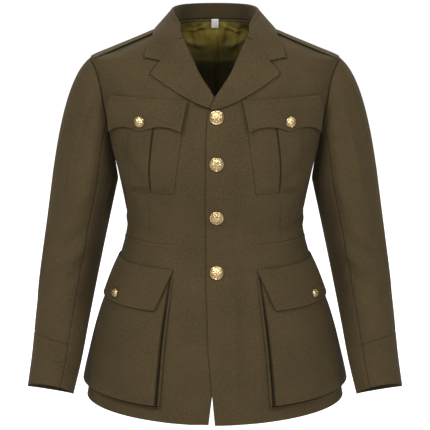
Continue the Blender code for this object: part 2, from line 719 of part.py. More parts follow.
def sleeve_point(turn, along):
    """A point of the sleeve: along runs from 0 at the armhole, by way of 1 at the first ring, to the hem."""
    turn, along = np.broadcast_arrays(turn, along)
    t = np.clip(along, 0, 1)[..., None]
    start = armhole_point(turn)
    end = sleeve_tube(turn, np.ones_like(along))
    across = HEAD_ACROSS[0] + HEAD_ACROSS[1] * np.cos(turn)
    fore = HEAD_FORE * np.sin(turn)
    down = HEAD_DOWN[0] + HEAD_DOWN[1] * np.cos(turn)
    leaves = np.stack([across, fore, down], -1)
    gap = np.linalg.norm(end - start, axis=-1, keepdims=True)
    leaves *= SLEEVE_HEAD_PULL * gap / np.linalg.norm(leaves, axis=-1, keepdims=True)
    arrives = sleeve_centre(np.array(1.1)) - sleeve_centre(np.array(1.0))
    arrives = arrives * SLEEVE_TUBE_PULL * gap / np.linalg.norm(arrives)
    head = (2 * t**3 - 3 * t**2 + 1) * start + (t**3 - 2 * t**2 + t) * leaves
    head += (3 * t**2 - 2 * t**3) * end + (t**3 - t**2) * arrives
    tube = sleeve_tube(turn, np.clip(along, 1, len(SLEEVE_RINGS)))
    return np.where(along[..., None] < 1, head, tube)


def sleeve_wall(name, turns, along, side):
    """A wall on a patch of the sleeve, its thickness to the inside."""
    small = 0.01
    outer = sleeve_point(turns, along)
    round_it = sleeve_point(turns + small, along) - sleeve_point(turns - small, along)
    low = np.clip(along - small, 0, None)
    high = np.clip(along + small, None, len(SLEEVE_RINGS))
    down = sleeve_point(turns, high) - sleeve_point(turns, low)
    square = np.cross(round_it, down)
    square /= np.linalg.norm(square, axis=-1, keepdims=True)
    inner = outer - square * SLEEVE_CLOTH
    return cloth_wall(name, mirrored(outer, side), mirrored(inner, side), CLOTH_FINISH)


def cuff_seam(turns):
    """How far along the sleeve the slanted cuff seam runs, rising from the front seam to the back."""
    share = (turns[-1] - turns) / (turns[-1] - turns[0])
    height = CUFF_FRONT_HEIGHT + (CUFF_BACK_HEIGHT - CUFF_FRONT_HEIGHT) * share
    return len(SLEEVE_RINGS) - height / SLEEVE_RING_STEP


def sleeve(side, word):
    """Top sleeve, under sleeve and cuff, parted at the front and back seams."""
    half_gap = SLEEVE_SEAM_GAP / 2 / SLEEVE_SEAM_RADIUS
    hem = len(SLEEVE_RINGS)
    head = np.array(SLEEVE_HEAD_ROWS)
    every = 2 * math.pi / SLEEVE_COLUMNS
    top_turns = every * np.arange(-TOP_SLEEVE_COLUMNS, TOP_SLEEVE_COLUMNS + 1)
    top_turns[[0, -1]] += half_gap, -half_gap
    seam = cuff_seam(top_turns)
    tube = 1 + (seam - SEAM_GAP / SLEEVE_RING_STEP - 1) * np.linspace(0, 1, SLEEVE_TUBE_ROWS)[:, None]
    along = np.concatenate([np.repeat(head[:, None], len(top_turns), axis=1), tube])
    turns = np.repeat(top_turns[None, :], len(along), axis=0)
    sleeve_wall(f"top_sleeve_{word}", turns, along, side)
    cuff_along = seam + (hem - seam) * np.linspace(0, 1, CUFF_ROWS)[:, None]
    sleeve_wall(f"cuff_{word}", np.repeat(top_turns[None, :], CUFF_ROWS, axis=0), cuff_along, side)
    under_turns = every * np.arange(TOP_SLEEVE_COLUMNS, SLEEVE_COLUMNS - TOP_SLEEVE_COLUMNS + 1)
    under_turns[[0, -1]] += half_gap, -half_gap
    along = np.concatenate([head, np.linspace(1, hem, SLEEVE_TUBE_ROWS + 1)])
    turns = np.repeat(under_turns[None, :], len(along), axis=0)
    along = np.repeat(along[:, None], len(under_turns), axis=1)
    sleeve_wall(f"under_sleeve_{word}", turns, along, side)


def shoulder_strap(name, side):
    """The strap along the shoulder, from the sleeve seam to under the collar."""
    heights = np.linspace(STRAP_BOTTOM, STRAP_TOP, STRAP_ROWS)
    share = (heights - STRAP_BOTTOM) / (STRAP_TOP - STRAP_BOTTOM)
    half = between(STRAP_HALF_AT_SLEEVE, STRAP_HALF_AT_COLLAR, share)
    fore = STRAP_CENTRE + half[:, None] * np.linspace(-1, 1, STRAP_COLUMNS)
    rows = np.repeat(heights[:, None], STRAP_COLUMNS, axis=1)
    depth = np.where(
        fore < 0,
        smooth_value(rows, RING_HEIGHTS, FRONT_DEPTHS),
        smooth_value(rows, RING_HEIGHTS, BACK_DEPTHS),
    )
    power = smooth_value(rows, RING_HEIGHTS, SQUARENESS)
    across = (1 - np.abs(fore / depth) ** power) ** (1 / power)
    across = across * smooth_value(rows, RING_HEIGHTS, HALF_WIDTHS)
    angles = np.arctan2(across, -fore)
    outer = on_body(angles, rows, PATCH_OUT)
    inner = on_body(angles, rows, PATCH_LIFT)
    return cloth_wall(name, mirrored(outer, side), mirrored(inner, side), CLOTH_FINISH)


def chest_pocket(name, side):
    """The patch with its box pleat, a strip that stands a little higher between its two folds."""
    heights = column(CHEST_POCKET_ROWS, 0)
    edges = [column(CHEST_POCKET_ROWS, number) for number in range(1, 5)]
    fold = PLEAT_FOLD_TURN
    parts = [
        (edges[0], PATCH_OUT),
        (between(edges[0], edges[1], 0.5), PATCH_OUT),
        (edges[1] - fold, PATCH_OUT),
        (edges[1], PLEAT_OUT),
        (between(edges[1], edges[2], 0.5), PLEAT_OUT),
        (edges[2], PLEAT_OUT),
        (edges[2] + fold, PATCH_OUT),
        (between(edges[2], edges[3], PATCH_OUTER_SHARE), PATCH_OUT),
        (edges[3], PATCH_OUT),
    ]
    angles = np.radians(np.stack([angle for angle, _ in parts], 1))
    out = np.repeat(np.array([[out for _, out in parts]]), len(heights), axis=0)
    rows = np.repeat(heights[:, None], len(parts), axis=1)
    outer = on_body(angles, rows, out)
    inner = on_body(angles, rows, PATCH_LIFT)
    return cloth_wall(name, mirrored(outer, side), mirrored(inner, side), CLOTH_FINISH)


def chest_flap(name, side):
    """The flap over the chest pocket, its lower edge two scallops that meet in a point."""
    across = np.linspace(0, 1, CHEST_FLAP_COLUMNS)
    point = CHEST_FLAP_POINT_SHARE
    wave = np.where(across < point, across / point, (across - point) / (1 - point))
    top_angle, top_height, end_angle, end_height = CHEST_FLAP_TOP
    low_angle, low_height, last_angle, last_height = CHEST_FLAP_BOTTOM
    top = np.stack([between(top_angle, end_angle, across), between(top_height, end_height, across)])
    edge_height = between(low_height, last_height, across**3) + CHEST_FLAP_SCALLOP * np.sin(math.pi * wave)
    bottom = np.stack([between(low_angle, last_angle, across), edge_height])
    grid = top + (bottom - top) * column(CHEST_FLAP_ROWS, 0)[:, None, None]
    out = np.repeat(column(CHEST_FLAP_ROWS, 1)[:, None], len(across), axis=1)
    angles, rows = np.radians(grid[:, 0]), grid[:, 1]
    outer = on_body(angles, rows, out)
    inner = on_body(angles, rows, out - CLOTH)
    return cloth_wall(name, mirrored(outer, side), mirrored(inner, side), CLOTH_FINISH)


def lower_pocket(name, side):
    """The bellows pocket: a front sheet that stands off the skirt, and a gusset on three sides."""
    sheet_rows = np.array(LOWER_SHEET_ROWS)
    stand = np.interp(sheet_rows, column(LOWER_SHEET_STAND, 0), column(LOWER_SHEET_STAND, 1))
    sheet_columns = np.linspace(LOWER_SHEET_INNER, LOWER_SHEET_OUTER, LOWER_SHEET_COLUMNS)
    gusset = LOWER_GUSSET_TURN * np.array(LOWER_GUSSET_SHARES)
    angles = np.concatenate([LOWER_SHEET_INNER - gusset, sheet_columns, LOWER_SHEET_OUTER + gusset[::-1]])
    edge_rise = np.array(LOWER_GUSSET_RISE)
    rise = np.concatenate([edge_rise, np.ones(len(sheet_columns)), edge_rise[::-1]])
    drop = (1 - edge_rise[::-1]) * LOWER_GUSSET_DROP
    heights = np.concatenate([sheet_rows, LOWER_SHEET_BOTTOM - drop])
    row_rise = np.concatenate([np.ones(len(sheet_rows)), edge_rise[::-1]])
    stand = np.concatenate([stand, [stand[-1], stand[-1]]])
    out = LOWER_BASE_OUT + (stand - LOWER_BASE_OUT)[:, None] * np.minimum(rise, row_rise[:, None])
    grid_angles = np.repeat(np.radians(angles)[None, :], len(heights), axis=0)
    rows = np.repeat(heights[:, None], len(angles), axis=1)
    middle = on_body(grid_angles, rows, out)
    return folded_wall(name, mirrored(middle, side), CLOTH, CLOTH_FINISH)


def lower_flap(name, side):
    """The flap over the bellows pocket, standing further off towards its lower edge."""
    across = np.linspace(0, 1, LOWER_FLAP_COLUMNS)
    top_angle, top_height, end_angle, end_height = LOWER_FLAP_TOP
    low_angle, low_height, last_angle, last_height = LOWER_FLAP_BOTTOM
    top = np.stack([between(top_angle, end_angle, across), between(top_height, end_height, across)])
    bottom = np.stack([between(low_angle, last_angle, across), between(low_height, last_height, across)])
    grid = top + (bottom - top) * column(LOWER_FLAP_STAND, 0)[:, None, None]
    out = np.repeat(column(LOWER_FLAP_STAND, 1)[:, None], len(across), axis=1)
    middle = on_body(np.radians(grid[:, 0]), grid[:, 1], out)
    return folded_wall(name, mirrored(middle, side), CLOTH, CLOTH_FINISH)


def button(name, foot, facing, radius, sides):
    """A domed button with a rolled rim, turned round its axis, standing on foot and facing outwards."""
    facing = facing / np.linalg.norm(facing)
    sideways = np.cross(facing, [0.0, 0.0, 1.0])
    sideways /= np.linalg.norm(sideways)
    upward = np.cross(sideways, facing)
    turns = np.linspace(0, 2 * math.pi, sides, endpoint=False)
    circle = np.cos(turns)[:, None] * sideways + np.sin(turns)[:, None] * upward
    rings = BUTTON_PROFILE[1:-1]
    points = [foot + facing * BUTTON_PROFILE[0][1] * radius, foot + facing * BUTTON_PROFILE[-1][1] * radius]
    for share, height in rings:
        points += list(foot + facing * height * radius + circle * share * radius)
    numbers = 2 + np.arange(len(rings) * sides).reshape(len(rings), sides)
    closed = np.concatenate([numbers, numbers[:, :1]], axis=1)
    faces = []
    for row in range(len(rings) - 1):
        faces += triangles_between(closed[row], closed[row + 1])
    for i in range(sides):
        faces.append((0, int(closed[0, i + 1]), int(closed[0, i])))
        faces.append((1, int(closed[-1, i]), int(closed[-1, i + 1])))
    return finish_object(name, points, faces, GILT_FINISH)


def button_on(name, angle, height, out, radius, sides, side=1):
    """A button at this place of the body, its back this far out."""
    foot = mirrored(on_body(angle, height, out), side)
    facing = mirrored(on_body(angle, height, 1.0) - on_body(angle, height, 0.0), side)
    return button(name, foot, facing, radius, sides)


def flap_button(name, place, flap_out, side):
    angle, height = math.radians(place[0]), place[1]
    out = flap_out + POCKET_BUTTON_GAP
    return button_on(name, angle, height, out, POCKET_BUTTON_RADIUS, POCKET_BUTTON_SIDES, side)


def main():
    clear_scene()
    for side, word in ((1, "left"), (-1, "right")):
        front_panel(f"front_{word}", side)
        back_panel(f"back_{word}", side)
        lapel(f"lapel_{word}", side)
        sleeve(side, word)
        shoulder_strap(f"shoulder_strap_{word}", side)
        chest_pocket(f"chest_pocket_{word}", side)
        chest_flap(f"chest_flap_{word}", side)
        lower_pocket(f"lower_pocket_{word}", side)
        lower_flap(f"lower_flap_{word}", side)
        flap_button(f"button_chest_{word}", CHEST_BUTTON, CHEST_FLAP_OUT, side)
        flap_button(f"button_lower_{word}", LOWER_BUTTON, LOWER_BUTTON_OUT, side)
    collar()
    back_lining()
    size_label()
    for number, (height, out) in enumerate(FRONT_BUTTONS, 1):
        angle = angle_across(FRONT_BUTTON_ACROSS, height)
        button_on(f"button_front_{number}", angle, height, out, FRONT_BUTTON_RADIUS, FRONT_BUTTON_SIDES)


main()
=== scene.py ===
import json
import math

import bpy
import numpy as np
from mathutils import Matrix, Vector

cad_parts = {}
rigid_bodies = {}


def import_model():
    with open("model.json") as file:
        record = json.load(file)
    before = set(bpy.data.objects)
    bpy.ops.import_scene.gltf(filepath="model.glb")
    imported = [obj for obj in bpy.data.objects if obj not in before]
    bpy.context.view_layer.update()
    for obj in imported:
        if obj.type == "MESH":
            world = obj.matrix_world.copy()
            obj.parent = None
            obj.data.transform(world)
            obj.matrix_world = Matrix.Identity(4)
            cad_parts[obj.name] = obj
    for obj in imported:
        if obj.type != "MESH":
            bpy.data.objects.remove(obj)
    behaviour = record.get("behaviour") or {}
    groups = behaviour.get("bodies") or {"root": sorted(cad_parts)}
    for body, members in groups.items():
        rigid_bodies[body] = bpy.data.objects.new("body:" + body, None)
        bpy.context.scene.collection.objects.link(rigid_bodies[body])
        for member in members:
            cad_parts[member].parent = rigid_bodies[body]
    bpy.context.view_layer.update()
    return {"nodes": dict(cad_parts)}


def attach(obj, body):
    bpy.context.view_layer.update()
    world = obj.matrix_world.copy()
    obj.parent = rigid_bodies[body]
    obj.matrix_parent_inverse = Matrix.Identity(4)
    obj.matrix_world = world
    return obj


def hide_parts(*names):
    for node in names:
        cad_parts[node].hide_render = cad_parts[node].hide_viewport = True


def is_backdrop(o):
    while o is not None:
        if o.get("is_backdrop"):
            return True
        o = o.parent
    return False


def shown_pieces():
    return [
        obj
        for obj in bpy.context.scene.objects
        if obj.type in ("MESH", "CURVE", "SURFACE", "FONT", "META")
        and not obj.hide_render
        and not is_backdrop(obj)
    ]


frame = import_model()
print("nodes in the frame:", len(frame["nodes"]))

# %% [markdown]
# The jacket hangs as if somebody wore it. A tailor cuts about thirty pieces of cloth, and each piece
# lies on one smooth body. So the body is made first, as a formula: an angle round it and a height give
# a point. The angle is 0 at the centre front and 90 degrees at the wearer's left side. Height 0 is the
# side of the neck. All sizes are in metres.

# %% The cloth's thickness, and where the hem, the shoulders and the armholes are
CLOTH = 0.0018
SLEEVE_CLOTH = 0.0016
LINING_CLOTH = 0.001
SEAM_GAP = 0.0004
HEM = -0.742
SHOULDER_POINT = -0.0655
ARMHOLE_BOTTOM = -0.235
ARMHOLE_MIDDLE = (SHOULDER_POINT + ARMHOLE_BOTTOM) / 2
ARMHOLE_REACH = (SHOULDER_POINT - ARMHOLE_BOTTOM) / 2
ARMHOLE_TURN_FRONT = math.radians(14.5)
ARMHOLE_TURN_BACK = math.radians(16.5)
ARMHOLE_FULLNESS = 0.8
SIDES = (("left", 1), ("right", -1))
print("armhole, m high:", round(2 * ARMHOLE_REACH, 4))

# %% The body's rings
BODY_RINGS = np.array((
    # height, half width, front depth, back depth, squareness
    (HEM, 0.2590, 0.160, 0.152, 1.88),
    (-0.700, 0.2512, 0.155, 0.148, 1.92),
    (-0.650, 0.2390, 0.148, 0.142, 1.97),
    (-0.600, 0.2260, 0.140, 0.135, 2.05),
    (-0.550, 0.2110, 0.131, 0.127, 2.1),
    (-0.500, 0.1975, 0.122, 0.118, 2.1),
    (-0.450, 0.1860, 0.113, 0.106, 2.1),
    (-0.410, 0.1752, 0.107, 0.097, 2.15),
    (-0.385, 0.1710, 0.106, 0.095, 2.15),
    (-0.350, 0.1737, 0.109, 0.098, 2.2),
    (-0.300, 0.1824, 0.117, 0.107, 2.25),
    (-0.250, 0.1935, 0.124, 0.115, 2.3),
    (-0.200, 0.2070, 0.126, 0.120, 2.3),
    (-0.160, 0.2180, 0.124, 0.121, 2.3),
    (-0.128, 0.2255, 0.118, 0.119, 2.3),
    (-0.080, 0.2330, 0.104, 0.112, 2.25),
    (SHOULDER_POINT, 0.2345, 0.098, 0.108, 2.2),
    (-0.050, 0.1955, 0.093, 0.104, 2.2),
    (-0.020, 0.1220, 0.080, 0.092, 2.2),
    (0.000, 0.0765, 0.072, 0.083, 2.2),
    (0.035, 0.0800, 0.073, 0.087, 2.2),
))
RING_HEIGHTS, HALF_WIDTHS, FRONT_DEPTHS, BACK_DEPTHS, SQUARENESS = BODY_RINGS.T
print("rings:", len(BODY_RINGS), "from the hem to the collar's top")


# %% A smooth curve through the rings
def smooth_slopes(places, values):
    """Slopes for a curve that never swings past its points: a weighted harmonic mean of the two
    neighbouring rates, and 0 where these point opposite ways."""
    steps = np.diff(places)
    rates = np.diff(values) / steps
    slopes = np.zeros(len(places))
    slopes[0], slopes[-1] = rates[0], rates[-1]
    before = 2 * steps[1:] + steps[:-1]
    after = steps[1:] + 2 * steps[:-1]
    same = rates[:-1] * rates[1:] > 0
    low = np.where(same, rates[:-1], 1)
    high = np.where(same, rates[1:], 1)
    slopes[1:-1] = np.where(same, (before + after) / (before / low + after / high), 0)
    return slopes


def smooth_value(at, places, values):
    """A cubic between each two points of a table, with the slopes above."""
    slopes = smooth_slopes(places, values)
    at = np.clip(at, places[0], places[-1])
    i = np.clip(np.searchsorted(places, at) - 1, 0, len(places) - 2)
    step = places[i + 1] - places[i]
    t = (at - places[i]) / step
    start = (2 * t**3 - 3 * t**2 + 1) * values[i] + (t**3 - 2 * t**2 + t) * step * slopes[i]
    end = (3 * t**2 - 2 * t**3) * values[i + 1] + (t**3 - t**2) * step * slopes[i + 1]
    return start + end


def ease(value, low, high):
    """0 below low, 1 above high, and a smooth rise between."""
    t = np.clip((value - low) / (high - low), 0, 1)
    return t * t * (3 - 2 * t)


def between(start, end, share):
    """The value at this share of the way from start to end."""
    return start + (end - start) * share


def bump(distance, width):
    """A soft round bump: e to the power of minus the distance over the width, squared."""
    return np.exp(-((distance / width) ** 2))


def at_height(values, height):
    """One of the rings' values, such as the half widths, at a height."""
    return smooth_value(height, RING_HEIGHTS, values)


print("half widths at hem and shoulder, m:", at_height(HALF_WIDTHS, np.array([HEM, SHOULDER_POINT])))

# %% A point of the body
# Where the body's width is a mean over nearby heights: how far from the sides, and between which heights
SOFT_FROM_SIDE = (0.28, 0.62)
SOFT_FROM_BELOW = (-0.125, -0.095)
SOFT_TO_ABOVE = (-0.048, -0.030)
SOFT_MEAN = (
    # step in height, weight
    (-0.024, 0.12), (-0.016, 0.14), (-0.008, 0.16), (0.0, 0.16), (0.008, 0.16), (0.016, 0.14),
    (0.024, 0.12),
)
SMALL_STEP = 1e-4
WAIST = -0.385


def half_width(angle, height):
    """Half the body's width. Away from the sides it is a mean over nearby heights, so that the corner
    between the sleeve's top and the shoulder slope doesn't run on across the chest."""
    share = ease(np.abs(np.cos(angle)), *SOFT_FROM_SIDE) * ease(height, *SOFT_FROM_BELOW)
    share = share * (1 - ease(height, *SOFT_TO_ABOVE))
    mean = sum(weight * at_height(HALF_WIDTHS, height + step) for step, weight in SOFT_MEAN)
    return between(at_height(HALF_WIDTHS, height), mean, share)


def body_ring(angle, height):
    """A point of the body: a superellipse whose half width, depths and squareness go with height."""
    half = half_width(angle, height)
    power = at_height(SQUARENESS, height)
    depth = np.where(np.cos(angle) > 0, at_height(FRONT_DEPTHS, height), at_height(BACK_DEPTHS, height))
    reach = np.abs(np.sin(angle) / half) ** power + np.abs(np.cos(angle) / depth) ** power
    radius = reach ** (-1 / power)
    return np.stack([radius * np.sin(angle), -radius * np.cos(angle), height + 0 * radius], -1)


def ring_radius(angles, rows):
    """How far the body is from the line up through its middle."""
    return np.linalg.norm(body_ring(angles, rows)[..., :2], axis=-1)


def unit(ways):
    """The same directions, each one long."""
    return ways / np.linalg.norm(ways, axis=-1, keepdims=True)


def on_body(angle, height, out=0.0):
    """The body's point, moved out square to it. The square direction is the cross product of a small
    step round the body and a small step up."""
    angle, height, out = np.broadcast_arrays(np.asarray(angle, float), np.asarray(height, float), out)
    across = body_ring(angle + SMALL_STEP, height) - body_ring(angle - SMALL_STEP, height)
    up = body_ring(angle, height + SMALL_STEP) - body_ring(angle, height - SMALL_STEP)
    return body_ring(angle, height) + unit(np.cross(across, up)) * out[..., None]


def angle_across(across, height):
    """The angle at which the front of the body is this far across from its centre."""
    power = at_height(SQUARENESS, height)
    share = (1 - np.abs(across / at_height(HALF_WIDTHS, height)) ** power) ** (1 / power)
    return np.arctan2(across, at_height(FRONT_DEPTHS, height) * share)


def turned_over(points, side):
    """The points as they are where side is 1, and mirrored to the wearer's right where it is -1."""
    return points * np.array([side, 1, 1])


waist_ring = body_ring(np.radians(np.arange(361)), np.full(361, WAIST))
print("waist girth, m:", round(float(np.linalg.norm(np.diff(waist_ring, axis=0), axis=1).sum()), 3))

# %% [markdown]
# Pressed wool hardly creases, but it is never flat. Soft troughs run from the armholes and the waist,
# where the cloth is pulled, and the skirt swings out in shallow waves. Each fold here is one row of a
# table: where it starts and ends on the body, how far it bows, how wide it is and how high or deep.
# A simulation could make folds too, but a table keeps them where the real garment has them.

# %% Soft folds of the body
BODY_FOLDS_LEFT = (
    # start angle, start height, end angle, end height, bow, half width, height of the fold
    (76, -0.205, 50, -0.330, 0.012, 0.0100, -0.0016),
    (79, -0.222, 60, -0.372, 0.008, 0.0120, 0.0014),
    (84, -0.250, 70, -0.400, 0.006, 0.0130, -0.0018),
    (66, -0.090, 52, -0.128, 0.006, 0.0130, -0.0012),
    (74, -0.110, 60, -0.210, -0.010, 0.0120, 0.0012),
    (30, -0.300, 16, -0.420, 0.006, 0.0150, -0.0010),
    (92, -0.345, 58, -0.388, -0.006, 0.0090, -0.0016),
    (96, -0.372, 66, -0.396, 0.004, 0.0070, 0.0012),
    (26, -0.440, 22, -0.740, 0.004, 0.0200, -0.0026),
    (34, -0.470, 31, -0.745, -0.003, 0.0150, 0.0020),
    (12, -0.500, 13, -0.745, 0.003, 0.0140, 0.0014),
    (112, -0.430, 118, -0.745, 0.004, 0.0220, 0.0034),
    (128, -0.470, 134, -0.745, -0.004, 0.0200, -0.0034),
    (150, -0.440, 152, -0.745, 0.003, 0.0240, 0.0030),
    (168, -0.500, 168, -0.745, 0.002, 0.0140, -0.0022),
    (104, -0.215, 140, -0.330, -0.012, 0.0130, -0.0024),
    (102, -0.240, 128, -0.372, -0.008, 0.0120, 0.0018),
    (108, -0.110, 130, -0.180, -0.010, 0.0140, 0.0018),
    (120, -0.350, 165, -0.384, 0.006, 0.0100, -0.0022),
    (116, -0.378, 158, -0.402, -0.004, 0.0080, 0.0014),
    (135, -0.060, 160, -0.120, 0.008, 0.0150, -0.0012),
)
BODY_FOLDS_RIGHT = (
    # the same columns
    (75, -0.198, 53, -0.318, 0.010, 0.0110, -0.0018),
    (80, -0.228, 62, -0.360, 0.010, 0.0110, 0.0015),
    (85, -0.246, 72, -0.408, 0.005, 0.0140, -0.0017),
    (68, -0.094, 50, -0.124, 0.005, 0.0120, -0.0010),
    (73, -0.116, 61, -0.204, -0.008, 0.0130, 0.0013),
    (28, -0.290, 18, -0.428, 0.007, 0.0160, -0.0010),
    (93, -0.350, 60, -0.391, -0.005, 0.0100, -0.0015),
    (97, -0.368, 64, -0.398, 0.005, 0.0070, 0.0012),
    (24, -0.450, 21, -0.742, 0.005, 0.0190, -0.0022),
    (33, -0.480, 30, -0.745, -0.004, 0.0160, 0.0024),
    (13, -0.520, 12, -0.745, 0.002, 0.0130, 0.0012),
    (110, -0.440, 115, -0.745, 0.005, 0.0200, 0.0030),
    (130, -0.450, 136, -0.745, -0.005, 0.0220, -0.0036),
    (148, -0.460, 151, -0.745, 0.004, 0.0220, 0.0026),
    (170, -0.490, 169, -0.745, 0.002, 0.0130, -0.0020),
    (105, -0.210, 143, -0.322, -0.010, 0.0140, -0.0026),
    (103, -0.246, 126, -0.380, -0.006, 0.0110, 0.0016),
    (110, -0.118, 128, -0.188, -0.008, 0.0130, 0.0016),
    (122, -0.346, 163, -0.388, 0.008, 0.0110, -0.0020),
    (118, -0.382, 156, -0.398, -0.003, 0.0070, 0.0012),
    (138, -0.066, 158, -0.114, 0.006, 0.0140, -0.0010),
)
print("folds on the body:", len(BODY_FOLDS_LEFT) + len(BODY_FOLDS_RIGHT))

# %% How a table of folds moves the cloth
FLAT_RADIUS = 0.19
BODY_FOLD_GAIN = 1.5
FOLD_END_POWER = 0.7
# Angles in degrees between which the folds fade in beside the front edge, and out at the centre back
FOLDS_START = (10, 22)
FOLDS_STOP = (170, 179)


def folds(across, up, table):
    """The sum of the table's folds at each place. Along a fold, the height rises and falls as a power
    of a half sine; across it, as a round bump. A bow bends the fold's line by a parabola."""
    total = np.zeros(np.broadcast(across, up).shape)
    for start_across, start_up, end_across, end_up, bow, width, high in table:
        run = np.array([end_across - start_across, end_up - start_up])
        length = np.hypot(*run)
        run = run / length
        share = ((across - start_across) * run[0] + (up - start_up) * run[1]) / length
        aside = (across - start_across) * run[1] - (up - start_up) * run[0]
        inside = np.clip(share, 0, 1)
        aside = aside - bow * 4 * inside * (1 - inside)
        total += high * bump(aside, width) * np.sin(math.pi * inside) ** FOLD_END_POWER
    return total


def in_metres(table, radius, gain):
    """The table with its two angles as distances round a body of this radius, and its heights raised."""
    turned = np.array(table, float)
    turned[:, [0, 2]] = np.radians(turned[:, [0, 2]]) * radius
    turned[:, 6] *= gain
    return turned


FOLDS_OF = {side: in_metres(table, FLAT_RADIUS, BODY_FOLD_GAIN)
            for side, table in ((1, BODY_FOLDS_LEFT), (-1, BODY_FOLDS_RIGHT))}


def worn(angle, height, out, side):
    """A place of the cloth: the body, moved out by this much and by that side's folds, and turned over
    to the wearer's right where side is -1."""
    angle, height, out = np.broadcast_arrays(angle, height, out)
    degrees = np.degrees(angle)
    share = ease(degrees, *FOLDS_START) * (1 - ease(degrees, *FOLDS_STOP))
    fold = folds(angle * FLAT_RADIUS, height, FOLDS_OF[side]) * share
    return turned_over(on_body(angle, height, out + fold), side)


deepest = min(float(table[:, 6].min()) for table in FOLDS_OF.values())
print("deepest fold, mm:", round(1000 * deepest, 2))

# %% [markdown]
# Little light comes in beside an arm, into a pocket's side or under a turned edge, and cloth swallows
# most of it. Soft lamps alone leave such places too pale. So each mesh carries a number at every point,
# its shade, and the material takes that share off the colour. Painted textures could do the same, but
# a number worked out from the place follows the cloth at any size.

# %% The dark beside the arms
SIDE_DARK = 0.34
SIDE_DARK_ANGLE, SIDE_DARK_HALF = 92, 21
SIDE_DARK_TOP = (-0.150, -0.090)
SIDE_DARK_LOW, SIDE_DARK_LOW_SHARE = (-0.500, -0.420), 0.5


def side_dark(angles, rows):
    """How much darker the body is beside the arm: a round bump of the angle, fading up and down."""
    down = (1 - ease(rows, *SIDE_DARK_TOP)) * between(SIDE_DARK_LOW_SHARE, 1, ease(rows, *SIDE_DARK_LOW))
    return SIDE_DARK * bump(np.degrees(angles) - SIDE_DARK_ANGLE, SIDE_DARK_HALF) * down


print("shade beside the arm:", round(float(side_dark(math.pi / 2, -0.3)), 3))

# %% [markdown]
# Every piece becomes a closed wall of cloth: an outer grid of points, an inner grid, and a rim that
# rounds the edge, because turned cloth has no sharp edge. The UV map holds metres of cloth, so that
# the weave has the same size on each piece and follows its grain. A plane with a Solidify modifier would
# be shorter, but its edges would be square.

# %% A wall of cloth from two grids
RIM_TURNS = np.radians((45, 90, 135))
RIM_SHADE = 0.75
CROWD = 5.0


def spread(low, high, count, marks=(), width=0.004):
    """Values from low to high, closer together near each mark: equal steps of the integral of a
    density that is 1 plus a round bump at each mark."""
    fine = np.linspace(low, high, 4001)
    density = 1 + sum((CROWD * bump(fine - mark, width) for mark in marks), np.zeros(len(fine)))
    reach = np.concatenate([[0], np.cumsum((density[1:] + density[:-1]) / 2)])
    return np.interp(np.linspace(0, reach[-1], count), reach, fine)


def arc(grid, axis):
    """Length of cloth from the grid's first row or column to each point."""
    steps = np.linalg.norm(np.diff(grid, axis=axis), axis=-1)
    start = np.zeros_like(np.take(steps, [0], axis=axis))
    return np.concatenate([start, np.cumsum(steps, axis=axis)], axis=axis)


def edge_ring(grid):
    """The grid's outermost points in order, once round."""
    return np.concatenate([grid[0], grid[1:, -1], grid[-1, -2::-1], grid[-2:0:-1, 0]])


def outward(grid, rims):
    """At each edge point, the way out of the sheet, as long as that side's rim stands out. The four
    sides are the first row, last column, last row and first column."""
    way = np.zeros_like(grid)
    for index, beyond, size in (
        (np.s_[0, :], grid[0] - grid[1], rims[0]),
        (np.s_[:, -1], grid[:, -1] - grid[:, -2], rims[1]),
        (np.s_[-1, :], grid[-1] - grid[-2], rims[2]),
        (np.s_[:, 0], grid[:, 0] - grid[:, 1], rims[3]),
    ):
        way[index] += size * beyond / (np.linalg.norm(beyond, axis=-1, keepdims=True) + 1e-12)
    return edge_ring(way)


def quads(first, second):
    """One four-sided face for each cell between two rows of point numbers."""
    return np.stack([first[..., :-1], first[..., 1:], second[..., 1:], second[..., :-1]], -1).reshape(-1, 4)


def volume_sign(corners):
    """1 if the faces with these corners, three of each, point out of what they close, and -1 if in."""
    return np.sign(np.einsum("ij,ij->i", corners[:, 0], np.cross(corners[:, 1], corners[:, 2])).sum())


def in_scene(name, data):
    """A new object with this mesh, lamp or camera."""
    made = bpy.data.objects.new(name, data)
    bpy.context.scene.collection.objects.link(made)
    return made


def build_mesh(name, points, faces, uv, shade):
    """A smooth mesh with its faces outwards: if the volume under its faces is below 0, they turn over.
    The shade at each point goes into an attribute that the material reads."""
    if volume_sign(points[faces[:, :3]]) < 0:
        faces = faces[:, ::-1]
    mesh = bpy.data.meshes.new(name)
    mesh.from_pydata(points.tolist(), [], faces.tolist())
    layer = mesh.uv_layers.new(name="cloth")
    layer.data.foreach_set("uv", uv[faces.ravel()].astype(np.float32).ravel())
    mesh.shade_smooth()
    mesh.attributes.new("shade", "FLOAT", "POINT").data.foreach_set("value", shade.astype(np.float32))
    return in_scene(name, mesh)


